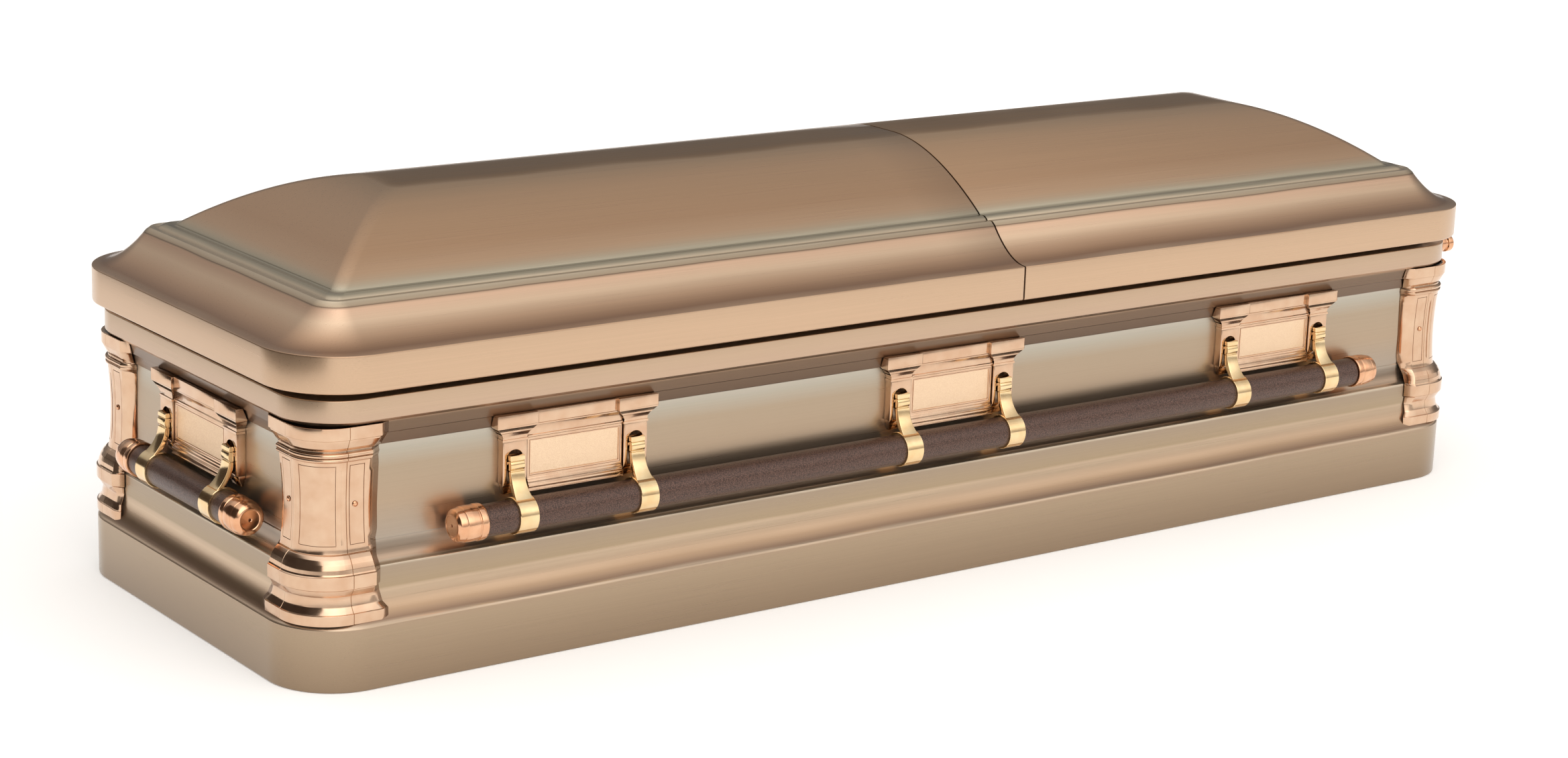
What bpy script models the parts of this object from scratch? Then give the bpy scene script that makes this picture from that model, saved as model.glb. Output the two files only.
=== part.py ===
"""Half-couch metal funeral casket: a pressed-sheet body, a lid in two domed panels, four corner
castings, and swing-bar handles on all four sides. Metres, +Z up, origin under the middle of the base.
+X is the foot end, -X the head end, -Y the front long side, +Y the hinge side."""

import math

import bmesh
import bpy
import numpy as np
from mathutils import Matrix

# ---- driving dimensions, metres -------------------------------------------------------------
BASE_HALF_LENGTH = 1.050
BASE_HALF_WIDTH = 0.338
BASE_CORNER_RADIUS = 0.095
SHEET = 0.0015  # thickness of the pressed sheet
CLEARANCE = 0.0003  # between pieces that touch
SPLIT_X = 0.100  # where the head lid meets the foot lid
SPLIT_GAP = 0.003

PANEL_INSET = 0.038  # the tall side panels lie this far inside the base band
PANEL_BOTTOM = 0.187
PANEL_TOP = 0.3115
RIM_INSET = 0.0145
RIM_TOP = 0.380
LEDGE_INSET = 0.058  # the inner lip of the rim, round the opening

LID_OVERHANG = 0.004  # the lid's face stands this far outside the base band
LID_CORNER_RADIUS = 0.106
LID_BOTTOM = 0.3914
LID_FACE_TOP = 0.4408
LID_FLANGE = 0.062
LID_HINGE_Y, LID_HINGE_Z = 0.331, 0.3857
SHOULDER_INSET, SHOULDER_RISE = 0.073, 0.0468
DOME_INSET, DOME_RISE = 0.108, 0.0567
CROWN_INSET, CROWN_RISE = 0.315, 0.1425
RIB_DEPTH = 0.018

CASTING_CENTRE = 0.074  # the castings' corner arcs are centred this far inside the base band
CASTING_TOP, CASTING_BOTTOM = 0.3452, 0.0895

PIVOT_DEPTH, PIVOT_Z = 0.0115, 0.263  # handle pins, out from the side panel and up
BAR_DEPTH, BAR_Z = 0.029, 0.197
BAR_RADIUS = 0.0215
TIP_RADIUS, TIP_LENGTH = 0.0245, 0.044
SIDE_BAR_HALF, END_BAR_HALF = 0.833, 0.180
ARM_OFFSET = 0.0935  # arms either side of the middle of their lug plate
ARM_WIDTH = 0.022
LUG_PITCH = 0.635
PLATE_TOP, PLATE_MIDDLE = 0.3290, 0.0730
INSERT_DEPTH = 0.0085  # the stippled insert's face, off the side panel
SLOT_HALF, SLOT_FLOOR, SLOT_SPRING = 0.0125, 0.0025, 0.268  # the arched slots the arms hang in

CORNER_STEPS = 4  # facets in each rounded corner
INNER_THINNING = 0.0016  # how far the hidden inner faces may stray from following the outer ones

PARTS = "funeral_casket"
CUTTERS = "cutters"

FINISHES = {
    "champagne_body_metal": ((0.46, 0.36, 0.26), 0.35, 0.9),
    "rose_gold_casting": ((0.85, 0.60, 0.44), 0.22, 1.0),
    "yellow_gold_arm": ((0.86, 0.68, 0.42), 0.2, 1.0),
    "dark_grained_bar": ((0.07, 0.045, 0.04), 0.55, 0.0),
    "copper_tip": ((0.80, 0.45, 0.30), 0.25, 1.0),
}


# ---- scene helpers ---------------------------------------------------------------------------
def clear_scene():
    for thing in list(bpy.data.objects):
        bpy.data.objects.remove(thing)


def collection_named(name):
    found = bpy.data.collections.get(name)
    if found is None:
        found = bpy.data.collections.new(name)
        bpy.context.scene.collection.children.link(found)
    return found


def finish_material(name):
    material = bpy.data.materials.get(name)
    if material is None:
        colour, roughness, metallic = FINISHES[name]
        material = bpy.data.materials.new(name)
        material.use_nodes = True
        shader = material.node_tree.nodes["Principled BSDF"]
        shader.inputs["Base Color"].default_value = (*colour, 1.0)
        shader.inputs["Roughness"].default_value = roughness
        shader.inputs["Metallic"].default_value = metallic
        material.diffuse_color = (*colour, 1.0)
    return material


def axis_empty(name, matrix):
    """An empty on a hinge line, which moving pieces hang on."""
    empty = bpy.data.objects.new(name, None)
    collection_named(PARTS).objects.link(empty)
    empty.matrix_world = matrix
    return empty


def place(name, mesh, finish, matrix=Matrix.Identity(4), hinge=None):
    """One piece of the casket, as its own named object; matrix is within hinge if that is given."""
    piece = bpy.data.objects.new(name, mesh)
    if not mesh.materials:
        mesh.materials.append(finish_material(finish))
    collection_named(PARTS).objects.link(piece)
    piece.parent = hinge
    piece.matrix_local = matrix


def as_mesh(name, form, smooth_angle=None):
    """Close a bmesh off into a mesh, with its faces pointing outwards."""
    bmesh.ops.recalc_face_normals(form, faces=form.faces[:])
    mesh = bpy.data.meshes.new(name)
    form.to_mesh(mesh)
    form.free()
    if smooth_angle is not None:
        mesh.shade_smooth()
        mesh.set_sharp_from_angle(angle=math.radians(smooth_angle))
    return mesh


def combined(name, base, joins=(), cuts=(), keeps=(), smooth_angle=None):
    """A mesh with joins added to it and cuts taken from it, and only what lies inside keeps left."""
    body = bpy.data.objects.new(name, base)
    collection_named(CUTTERS).objects.link(body)
    helpers = [body]
    for operation, meshes in (("UNION", joins), ("DIFFERENCE", cuts), ("INTERSECT", keeps)):
        for mesh in meshes:
            helper = bpy.data.objects.new(f"{name}_helper", mesh)
            helper.display_type = "WIRE"
            helper.hide_render = True
            collection_named(CUTTERS).objects.link(helper)
            modifier = body.modifiers.new(operation.title(), "BOOLEAN")
            modifier.operation = operation
            modifier.solver = "EXACT"
            modifier.object = helper
            helpers.append(helper)
    graph = bpy.context.evaluated_depsgraph_get()
    result = bpy.data.meshes.new_from_object(body.evaluated_get(graph))
    result.name = name
    for helper in helpers:
        bpy.data.objects.remove(helper)
    if smooth_angle is not None:
        result.shade_smooth()
        result.set_sharp_from_angle(angle=math.radians(smooth_angle))
    return result


# ---- shapes ----------------------------------------------------------------------------------
def box(x0, x1, y0, y1, z0, z1):
    form = bmesh.new()
    size = Matrix.Diagonal((x1 - x0, y1 - y0, z1 - z0, 1.0))
    middle = Matrix.Translation(((x0 + x1) / 2, (y0 + y1) / 2, (z0 + z1) / 2))
    bmesh.ops.create_cube(form, size=1.0, matrix=middle @ size)
    return as_mesh("box", form)


def cylinder_x(radius, half_length, sides):
    """A cylinder along X."""
    form = bmesh.new()
    turn = Matrix.Rotation(math.radians(90), 4, "Y")
    bmesh.ops.create_cone(form, segments=sides, radius1=radius, radius2=radius,
                          depth=2 * half_length, cap_ends=True, matrix=turn)
    return as_mesh("cylinder", form, 40)


def turned(name, profile, sides):
    """A profile of (distance along X, radius) turned about the X axis."""
    form = bmesh.new()
    points = [form.verts.new((along, radius, 0.0)) for along, radius in profile]
    edges = [form.edges.new(pair) for pair in zip(points, points[1:])]
    bmesh.ops.spin(form, geom=points + edges, cent=(0, 0, 0), axis=(1, 0, 0), use_merge=True,
                   angle=2 * math.pi, steps=sides)
    bmesh.ops.remove_doubles(form, verts=form.verts[:], dist=1e-6)
    return as_mesh(name, form, 40)


def arc(inset, height, radius, start, end, steps):
    """Points round a bead: 0 degrees is its outermost point, 90 degrees its top."""
    angles = np.radians(np.linspace(start, end, steps + 1))
    return [(inset - radius * math.cos(a), height + radius * math.sin(a)) for a in angles]


def cove(start, end, steps):
    """A hollow quarter from a level start to an upright end, as (inset, height) points."""
    angles = np.linspace(0.0, math.pi / 2, steps + 1)
    (i0, z0), (i1, z1) = start, end
    return [(i0 + (i1 - i0) * math.sin(a), z0 + (z1 - z0) * (1 - math.cos(a))) for a in angles]


def thinned(path, tolerance):
    """The path without the points that lie within tolerance of the line through their neighbours."""
    if len(path) < 3:
        return list(path)
    first, last = np.array(path[0]), np.array(path[-1])
    along = (last - first) / max(np.linalg.norm(last - first), 1e-12)
    offsets = [abs(along[0] * (p[1] - first[1]) - along[1] * (p[0] - first[0])) for p in path]
    furthest = int(np.argmax(offsets))
    if offsets[furthest] < tolerance:
        return [path[0], path[-1]]
    return thinned(path[:furthest + 1], tolerance)[:-1] + thinned(path[furthest:], tolerance)


def offset_path(path, distance):
    """The path moved sideways, to its right, by distance, with mitred corners."""
    points = [np.array(p) for p in path]
    normals = []
    for a, b in zip(points, points[1:]):
        step = (b - a) / np.linalg.norm(b - a)
        normals.append(np.array((step[1], -step[0])))
    moved = [points[0] + normals[0] * distance]
    for point, before, after in zip(points[1:], normals, normals[1:]):
        mitre = (before + after) / (1.0 + float(before @ after))
        moved.append(point + mitre * distance)
    moved.append(points[-1] + normals[-1] * distance)
    return [tuple(p) for p in moved]


def outline(half_length, half_width, radius, height):
    """A rounded rectangle, anticlockwise seen from above."""
    points = []
    for quarter, (sx, sy) in enumerate(((1, 1), (-1, 1), (-1, -1), (1, -1))):
        cx, cy = sx * (half_length - radius), sy * (half_width - radius)
        for step in range(CORNER_STEPS + 1):
            a = math.radians(90 * (quarter + step / CORNER_STEPS))
            points.append((cx + radius * math.cos(a), cy + radius * math.sin(a), height))
    return points


def lofted(name, rings, smooth_angle=30):
    """A closed surface through a list of rings, with a flat face on the first and on the last."""
    form = bmesh.new()
    rows = [[form.verts.new(point) for point in ring] for ring in rings]
    for low, high in zip(rows, rows[1:]):
        for i, corner in enumerate(low):
            j = (i + 1) % len(low)
            form.faces.new((corner, low[j], high[j], high[i]))
    form.faces.new(rows[0])
    form.faces.new(rows[-1])
    return as_mesh(name, form, smooth_angle)


def rectangle_loft(name, levels):
    """Stacked rectangles, each (height, x0, x1, back depth, front depth); depth runs towards -Y."""
    rings = [[(x0, -back, z), (x1, -back, z), (x1, -front, z), (x0, -front, z)]
             for z, x0, x1, back, front in levels]
    return lofted(name, rings, smooth_angle=None)


# ---- body ------------------------------------------------------------------------------------
def body_profile():
    """The sheet's outer line from the bottom edge to the inner lip: (inset, height)."""
    band = [(0.0, 0.0), (0.0, 0.0815), (0.0012, 0.0835), (0.0135, 0.0845)]
    bead = arc(0.0180, 0.0985, 0.0085, -70, 50, 3)
    sweep = [(0.0165, 0.1120), (0.0210, 0.1260)]
    shoulder = [(0.0210, 0.1535), (0.0222, 0.1562)]
    hollow = cove((0.0245, 0.1570), (PANEL_INSET - 0.0015, PANEL_BOTTOM - 0.001), 2)
    panel = [(PANEL_INSET, PANEL_BOTTOM), (PANEL_INSET, PANEL_TOP)]
    under_rim = [(0.0352, 0.3125), (0.0305, 0.3275), (0.0285, 0.3285), (0.0245, 0.3450)]
    rim = [(0.0190, 0.3465), (RIM_INSET, 0.3510), (RIM_INSET, RIM_TOP - 0.0015),
           (RIM_INSET + 0.0015, RIM_TOP)]
    rail_top = LID_BOTTOM - CLEARANCE
    rail = [(0.0455, RIM_TOP), (0.0465, rail_top), (LEDGE_INSET, rail_top), (LEDGE_INSET, 0.374)]
    return band + bead + sweep + shoulder + hollow + panel + under_rim + rim + rail


def body_ring(inset, height):
    return outline(BASE_HALF_LENGTH - inset, BASE_HALF_WIDTH - inset,
                   max(BASE_CORNER_RADIUS - inset, 0.02), height)


def body_shell():
    outer = body_profile()
    inner = offset_path(thinned(outer, INNER_THINNING), SHEET)
    inner[0] = (SHEET, SHEET)
    rings = [body_ring(*p) for p in outer] + [body_ring(*p) for p in reversed(inner)]
    place("body_shell", lofted("body_shell", rings), "champagne_body_metal")


# ---- lids ------------------------------------------------------------------------------------
def lid_ring(inset, height):
    half_width = BASE_HALF_WIDTH + LID_OVERHANG - inset
    radius = max(LID_CORNER_RADIUS - inset, 0.016)
    return outline(BASE_HALF_LENGTH + LID_OVERHANG - inset, half_width,
                   min(radius, half_width * 0.4), height)


def lid_profile():
    """The lid's outer line from the inner edge of its flange to the flat crown."""
    face = [(LID_FLANGE, LID_BOTTOM), (0.003, LID_BOTTOM), (0.0, LID_BOTTOM + 0.003),
            (0.0, LID_FACE_TOP), (0.003, LID_FACE_TOP + 0.0014)]
    hollow = [(SHOULDER_INSET * s, LID_FACE_TOP + SHOULDER_RISE * s * s)
              for s in np.linspace(0.3, 1.0, 4)]
    beads = [(0.085, LID_FACE_TOP + 0.0483), (0.0976, LID_FACE_TOP + 0.0538),
             (DOME_INSET, LID_FACE_TOP + DOME_RISE)]
    dome = []
    for s in np.linspace(0.0, 1.0, 6)[1:]:
        inset = DOME_INSET + (CROWN_INSET - DOME_INSET) * s
        rise = DOME_RISE + (CROWN_RISE - DOME_RISE) * (1 - (1 - s) ** 1.85)
        dome.append((inset, LID_FACE_TOP + rise))
    return face + hollow + beads + dome


def lid_shell():
    """Both panels in one, before they are parted."""
    outer = lid_profile()
    inner = offset_path(thinned(outer, INNER_THINNING), SHEET)
    inner[0] = (LID_FLANGE, LID_BOTTOM + SHEET)
    rings = [lid_ring(*p) for p in reversed(outer)] + [lid_ring(*p) for p in inner]
    return lofted("lid_shell", rings)


def lid_rib(x0, x1):
    """The turned-in edge of a panel at the parting, following the dome."""
    outer = offset_path(thinned(lid_profile(), 0.0009), SHEET / 2)
    edge, dome = outer[1], outer[2:]
    solid = [lid_ring(edge[0], LID_BOTTOM + SHEET / 2)] + [lid_ring(*p) for p in dome]
    hollow = [(max(inset, SHEET) + RIB_DEPTH, max(z - RIB_DEPTH, LID_BOTTOM)) for inset, z in dome[1:]]
    core = [lid_ring(RIB_DEPTH + SHEET, LID_BOTTOM - 0.01)] + [lid_ring(*p) for p in hollow]
    return combined("rib", lofted("rib_solid", solid), cuts=[lofted("rib_core", core)],
                    keeps=[box(x0, x1, -0.5, 0.5, 0.3, 0.7)])


def lids():
    """Both panels, each hung on an empty that lies on its hinge line along the back of the rim."""
    head_edge, foot_edge = SPLIT_X - SPLIT_GAP / 2, SPLIT_X + SPLIT_GAP / 2
    beyond = BASE_HALF_LENGTH + 0.15
    for name, x0, x1, rib0, rib1 in (
            ("head_lid", -beyond, head_edge, head_edge - SHEET, head_edge),
            ("foot_lid", foot_edge, beyond, foot_edge, foot_edge + SHEET)):
        panel = combined(name, lid_shell(), keeps=[box(x0, x1, -0.5, 0.5, 0.3, 0.7)])
        mesh = combined(name, panel, joins=[lid_rib(rib0, rib1)], smooth_angle=30)
        spot = Matrix.Translation((0.0, LID_HINGE_Y, LID_HINGE_Z))
        mesh.transform(spot.inverted())
        hinge = axis_empty(f"{name}_axis", spot)
        place(name, mesh, "champagne_body_metal", hinge=hinge)


# ---- corner castings -------------------------------------------------------------------------
CASTING_FACE = [  # (height, inset) down the outside
    (CASTING_TOP, 0.0160), (0.3290, 0.0160), (0.3135, 0.0250), (0.3115, 0.0212), (0.3005, 0.0212),
    (0.2985, 0.0240), (0.2600, 0.0266), (0.2250, 0.0268), (0.1830, 0.0232), (0.1705, 0.0180),
    (0.1630, 0.0110), (0.1555, 0.0065), (0.1370, 0.0068), (0.1230, 0.0145), (0.1040, 0.0060),
    (CASTING_BOTTOM, 0.0064)]
CASTING_BACK = [  # (height, inset) down the inside, just clear of the body
    (CASTING_TOP, 0.0235), (0.3280, 0.0276), (0.3125, 0.0340), (0.3105, 0.0375), (0.1885, 0.0375),
    (0.1860, 0.0350), (0.1570, 0.0200), (0.1260, 0.0200), (0.1090, 0.0130), (0.0985, 0.0089),
    (CASTING_BOTTOM, 0.0100)]
CASTING_WIDTH = [  # (height, reach of a wing from the base band's plane round the corner)
    (CASTING_TOP, 0.121), (0.3290, 0.121), (0.3115, 0.113), (0.2985, 0.108), (0.2350, 0.105),
    (0.1705, 0.105), (0.1370, 0.106), (0.1220, 0.107), (0.1040, 0.114), (CASTING_BOTTOM, 0.114)]
CASTING_ARC_STEPS = 4


def reach_at(height):
    heights = [z for z, _ in reversed(CASTING_WIDTH)]
    reaches = [reach for _, reach in reversed(CASTING_WIDTH)]
    return float(np.interp(height, heights, reaches))


def casting_row(form, height, inset):
    """One level of a casting, about the arc's centre: a straight wing, the corner, a straight wing."""
    radius = CASTING_CENTRE - inset
    wing = reach_at(height) - CASTING_CENTRE
    points = [(-wing, radius)]
    for step in range(CASTING_ARC_STEPS + 1):
        a = math.radians(90 - 90 * step / CASTING_ARC_STEPS)
        points.append((radius * math.cos(a), radius * math.sin(a)))
    points.append((radius, -wing))
    return [form.verts.new((x, y, height)) for x, y in points]


def corner_casting_mesh():
    form = bmesh.new()
    face = [casting_row(form, z, inset) for z, inset in CASTING_FACE]
    back = [casting_row(form, z, inset) for z, inset in CASTING_BACK]
    for rows in (face, back):
        for high, low in zip(rows, rows[1:]):
            for i in range(len(high) - 1):
                form.faces.new((high[i], low[i], low[i + 1], high[i + 1]))
    for i in range(len(face[0]) - 1):
        form.faces.new((face[0][i], face[0][i + 1], back[0][i + 1], back[0][i]))
        form.faces.new((face[-1][i], face[-1][i + 1], back[-1][i + 1], back[-1][i]))
    for side in (0, -1):
        form.faces.new([row[side] for row in face] + [row[side] for row in reversed(back)])
    return as_mesh("corner_casting", form, 30)


def screw_mesh():
    """A round-headed screw, its axis along X, its head's flat on the casting."""
    return turned("casting_screw", [(0.0, 0.0), (0.0, 0.0038), (0.0012, 0.0036), (0.0022, 0.0)], 8)


def corner_castings():
    mesh, screw = corner_casting_mesh(), screw_mesh()
    centre_x = BASE_HALF_LENGTH - CASTING_CENTRE
    centre_y = BASE_HALF_WIDTH - CASTING_CENTRE
    screw_z, screw_reach = 0.242, 0.088
    waist = CASTING_CENTRE - np.interp(screw_z, (0.2250, 0.2600), (0.0268, 0.0266)) + CLEARANCE
    for corner, sx, sy, turn in (("back_foot", 1, 1, 0), ("back_head", -1, 1, 90),
                                 ("front_head", -1, -1, 180), ("front_foot", 1, -1, 270)):
        spot = Matrix.Translation((sx * centre_x, sy * centre_y, 0.0))
        spot = spot @ Matrix.Rotation(math.radians(turn), 4, "Z")
        place(f"corner_casting_{corner}", mesh, "rose_gold_casting", spot)
        wing = screw_reach - CASTING_CENTRE
        first = Matrix.Translation((waist, -wing, screw_z))
        second = Matrix.Translation((-wing, waist, screw_z)) @ Matrix.Rotation(math.radians(90), 4, "Z")
        place(f"casting_screw_{corner}_a", screw, "rose_gold_casting", spot @ first)
        place(f"casting_screw_{corner}_b", screw, "rose_gold_casting", spot @ second)


# ---- handles ---------------------------------------------------------------------------------
def plate_back(height):
    """How far off the panel a lug plate's back is: it leans out under the rim's cove."""
    return float(np.interp(height, (0.3112, 0.3118, 0.3290), (CLEARANCE, 0.0034, 0.0101)))


def plate_block(name, levels):
    """Part of a lug plate, from levels of (height, x0, x1, depth of its face)."""
    return rectangle_loft(name, [(z, x0, x1, plate_back(z), face) for z, x0, x1, face in levels])


def lug_plate_mesh():
    """A lug plate with its back on the plane y = 0 and its face towards -Y."""
    middle = plate_block("middle", [(z, -PLATE_MIDDLE, PLATE_MIDDLE, face) for z, face in (
        (0.2205, 0.0160), (0.2285, 0.0155), (0.2400, 0.0105), (0.2930, 0.0105), (0.3112, 0.0140),
        (0.3118, 0.0165), (PLATE_TOP, 0.0165))])
    ear = [(0.2190, 0.0725, 0.1128, 0.0135), (0.2980, 0.0725, 0.1128, 0.0135),
           (0.3112, 0.0625, 0.1226, 0.0197), (0.3118, 0.0613, 0.1238, 0.0205),
           (PLATE_TOP, 0.0613, 0.1238, 0.0205)]
    right = plate_block("right_ear", ear)
    left = plate_block("left_ear", [(z, -x1, -x0, face) for z, x0, x1, face in ear])
    cuts = [box(-0.0625, 0.0625, -0.05, -INSERT_DEPTH, 0.2430, 0.2905)]
    for x in (-ARM_OFFSET, ARM_OFFSET):
        cuts.append(box(x - SLOT_HALF, x + SLOT_HALF, -0.05, -SLOT_FLOOR, 0.20, SLOT_SPRING))
        arch = bmesh.new()
        spot = Matrix.Translation((x, -0.025 - SLOT_FLOOR, SLOT_SPRING))
        spot = spot @ Matrix.Rotation(math.radians(90), 4, "X")
        bmesh.ops.create_cone(arch, segments=8, radius1=SLOT_HALF, radius2=SLOT_HALF, depth=0.05,
                              cap_ends=True, matrix=spot)
        cuts.append(as_mesh("arch", arch))
    return combined("lug_plate", middle, cuts=cuts, joins=[left, right])


def round_points(cx, cz, radius, start, end, count):
    return [(cx + radius * math.cos(a), cz + radius * math.sin(a))
            for a in np.radians(np.linspace(start, end, count))]


def arm_outlines():
    """The arm seen along its pin, as (depth, height) about the pin: its edge, and the bar's hole."""
    drop, out = PIVOT_Z - BAR_Z, BAR_DEPTH - PIVOT_DEPTH
    ring = BAR_RADIUS + 0.0030
    edge = round_points(0, 0, 0.0085, 0, 180, 5) + [(-0.0072, -0.0150), (-0.0035, -0.0300)]
    edge += round_points(out, -drop, ring, 130, 410, 10) + [(0.0105, -0.0320), (0.0078, -0.0180)]
    return edge, round_points(out, -drop, (BAR_RADIUS + CLEARANCE) / math.cos(math.radians(18)), 0, 324, 10)


def arm_mesh():
    """A handle arm about its pin: the pin lies on the X axis, and the ring holds the bar."""
    flat = bpy.data.curves.new("arm_outline", "CURVE")
    flat.dimensions = "2D"
    flat.fill_mode = "BOTH"
    flat.extrude = ARM_WIDTH / 2
    for points in arm_outlines():
        spline = flat.splines.new("POLY")
        spline.points.add(len(points) - 1)
        for point, (depth, height) in zip(spline.points, points):
            point.co = (depth, height, 0.0, 1.0)
        spline.use_cyclic_u = True
    shape = bpy.data.objects.new("arm_outline", flat)
    collection_named(CUTTERS).objects.link(shape)
    graph = bpy.context.evaluated_depsgraph_get()
    mesh = bpy.data.meshes.new_from_object(shape.evaluated_get(graph))
    bpy.data.objects.remove(shape)
    form = bmesh.new()
    form.from_mesh(mesh)
    bmesh.ops.remove_doubles(form, verts=form.verts[:], dist=1e-6)
    upright = Matrix(((0, 0, 1, 0), (-1, 0, 0, 0), (0, 1, 0, 0), (0, 0, 0, 1)))
    bmesh.ops.transform(form, matrix=upright, verts=form.verts[:])
    return as_mesh("handle_arm", form, 35)


def tip_mesh():
    """A bar's end ferrule along +X from the end of the grip."""
    length, radius = TIP_LENGTH, TIP_RADIUS
    profile = [(CLEARANCE, 0.0), (CLEARANCE, radius - 0.0006), (0.0120, radius),
               (length - 0.0060, radius), (length, radius - 0.0065), (length, 0.0)]
    return turned("bar_tip", profile, 12)


def swing_handle(meshes, side, turn, distance, bar_half, lug_spots):
    """Everything on one side of the casket: plates, arms, bar and the two bar tips.
    distance is from the middle of the casket out to that side's panel."""
    side_frame = Matrix.Rotation(math.radians(turn), 4, "Z") @ Matrix.Translation((0, -distance, 0))
    hinge = axis_empty(f"{side}_handle_axis",
                       side_frame @ Matrix.Translation((0, -PIVOT_DEPTH, PIVOT_Z)))
    bar_spot = Matrix.Translation((0, PIVOT_DEPTH - BAR_DEPTH, BAR_Z - PIVOT_Z))
    arm = 1
    for number, x in enumerate(lug_spots, 1):
        label = f"lug_plate_{side}_{number}" if len(lug_spots) > 1 else f"lug_plate_{side}"
        place(label, meshes["lug_plate"], "rose_gold_casting",
              side_frame @ Matrix.Translation((x, 0, 0)))
        for offset in (-ARM_OFFSET, ARM_OFFSET):
            place(f"handle_arm_{side}_{arm}", meshes["handle_arm"], "yellow_gold_arm",
                  Matrix.Translation((x + offset, 0, 0)), hinge)
            arm += 1
    grip = cylinder_x(BAR_RADIUS, bar_half - TIP_LENGTH, sides=16)
    place(f"handle_bar_{side}", grip, "dark_grained_bar", bar_spot, hinge)
    for number, turn_round in ((1, 180), (2, 0)):
        tip_spot = bar_spot @ Matrix.Rotation(math.radians(turn_round), 4, "Z")
        tip_spot = tip_spot @ Matrix.Translation((bar_half - TIP_LENGTH, 0, 0))
        place(f"bar_tip_{side}_{number}", meshes["bar_tip"], "copper_tip", tip_spot, hinge)


def handles():
    meshes = {"lug_plate": lug_plate_mesh(), "handle_arm": arm_mesh(), "bar_tip": tip_mesh()}
    across = BASE_HALF_WIDTH - PANEL_INSET
    along = BASE_HALF_LENGTH - PANEL_INSET
    side_lugs = (-LUG_PITCH, 0.0, LUG_PITCH)
    swing_handle(meshes, "front", 0, across, SIDE_BAR_HALF, side_lugs)
    swing_handle(meshes, "foot", 90, along, END_BAR_HALF, (0.0,))
    swing_handle(meshes, "back", 180, across, SIDE_BAR_HALF, side_lugs)
    swing_handle(meshes, "head", 270, along, END_BAR_HALF, (0.0,))


# ---- lock port -------------------------------------------------------------------------------
def lock_port():
    """The plug over the lid lock, low on the foot end by the front corner."""
    start, tip = 1.0358, 1.0635
    profile = [(start, 0.0), (start, 0.0135), (start + 0.0070, 0.0135), (start + 0.0090, 0.0118),
               (start + 0.0140, 0.0142), (tip - 0.0030, 0.0142), (tip, 0.0100), (tip, 0.0)]
    mesh = turned("lock_port", profile, 12)
    place("lock_port", mesh, "copper_tip", Matrix.Translation((0.0, -0.266, 0.3645)))


def main():
    clear_scene()
    body_shell()
    lids()
    corner_castings()
    handles()
    lock_port()


main()
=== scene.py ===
"""Finished looks for a half-couch metal funeral casket: sheet body and lid, castings, handles."""

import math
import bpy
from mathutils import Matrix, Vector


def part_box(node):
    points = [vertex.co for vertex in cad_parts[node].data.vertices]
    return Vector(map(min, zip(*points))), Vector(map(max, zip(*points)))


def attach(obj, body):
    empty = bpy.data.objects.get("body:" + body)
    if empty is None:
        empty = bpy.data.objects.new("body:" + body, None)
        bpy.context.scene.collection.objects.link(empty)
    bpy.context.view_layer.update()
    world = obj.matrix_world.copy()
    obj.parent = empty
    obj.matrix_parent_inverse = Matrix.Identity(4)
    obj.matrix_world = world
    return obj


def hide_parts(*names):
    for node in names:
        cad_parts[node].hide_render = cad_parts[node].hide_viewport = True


bl_info = {
    "name": "Metal Funeral Casket",
    "version": (1, 0, 0),
    "blender": (4, 5, 0),
    "location": "View3D > Sidebar > Casket",
    "description": "Builds the moulded sheet, castings, handles and studio of a half-couch metal casket",
    "category": "Object",
}

import bmesh
import bpy
from bpy.props import FloatProperty, IntProperty, PointerProperty
from mathutils import Matrix, Vector

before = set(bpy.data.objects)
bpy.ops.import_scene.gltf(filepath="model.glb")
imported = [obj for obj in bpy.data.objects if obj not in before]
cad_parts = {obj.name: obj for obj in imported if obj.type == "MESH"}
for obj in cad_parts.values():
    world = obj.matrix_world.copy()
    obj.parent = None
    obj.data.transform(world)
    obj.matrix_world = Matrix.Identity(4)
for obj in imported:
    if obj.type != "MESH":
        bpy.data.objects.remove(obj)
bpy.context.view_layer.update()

HALF_LENGTH, HALF_WIDTH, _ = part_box("body_shell")[1]  # of the base band
LID_LOW, LID_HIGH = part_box("head_lid")
LID_HALF_LENGTH, LID_HALF_WIDTH = -LID_LOW.x, LID_HIGH.y
LID_FOOT, LID_TOP = LID_LOW.z, LID_HIGH.z
FLANGE_TOP = LID_FOOT + 0.0494  # of the flat band round the lid's foot
PARTING = LID_HIGH.x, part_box("foot_lid")[0].x  # the two lid panels' facing edges
MERGE = 1e-5

# Insets from the base band's plane, and heights, shared by the pieces that meet the body.
PANEL_INSET, PANEL_FOOT, PANEL_HEAD = 0.038, 0.187, 0.3115
BASE_CORNER, LID_CORNER = 0.095, 0.106  # radii of the base band's corners and of the lid's
CASTING_CENTRE = 0.074  # from both planes of the base band to the centre of a casting's arc
CASTING_WALL = 0.0010
PIN_DEPTH, PIN_HEIGHT = 0.0115, 0.263  # the arms' pins, off the side panel and up
BAR_DEPTH, BAR_HEIGHT, BAR_RADIUS = 0.029, 0.197, 0.0215
ARM_OFFSET = 0.0935  # from a lug plate's middle to each of its two arms

CAMERA_PLACE = (-2.870, -3.776, 1.4465)
CAMERA_AXES = ((0.80761, -0.58879, 0.03308), (-0.12309, -0.22317, -0.96698),
               (0.57673, 0.77687, -0.25270))  # its right, down and forward

SIDES = {"front": 0, "foot": 90, "back": 180, "head": 270}
CORNERS = {"back_foot": (1, 1, 0), "back_head": (-1, 1, 90), "front_head": (-1, -1, 180),
           "front_foot": (1, -1, 270)}


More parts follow.
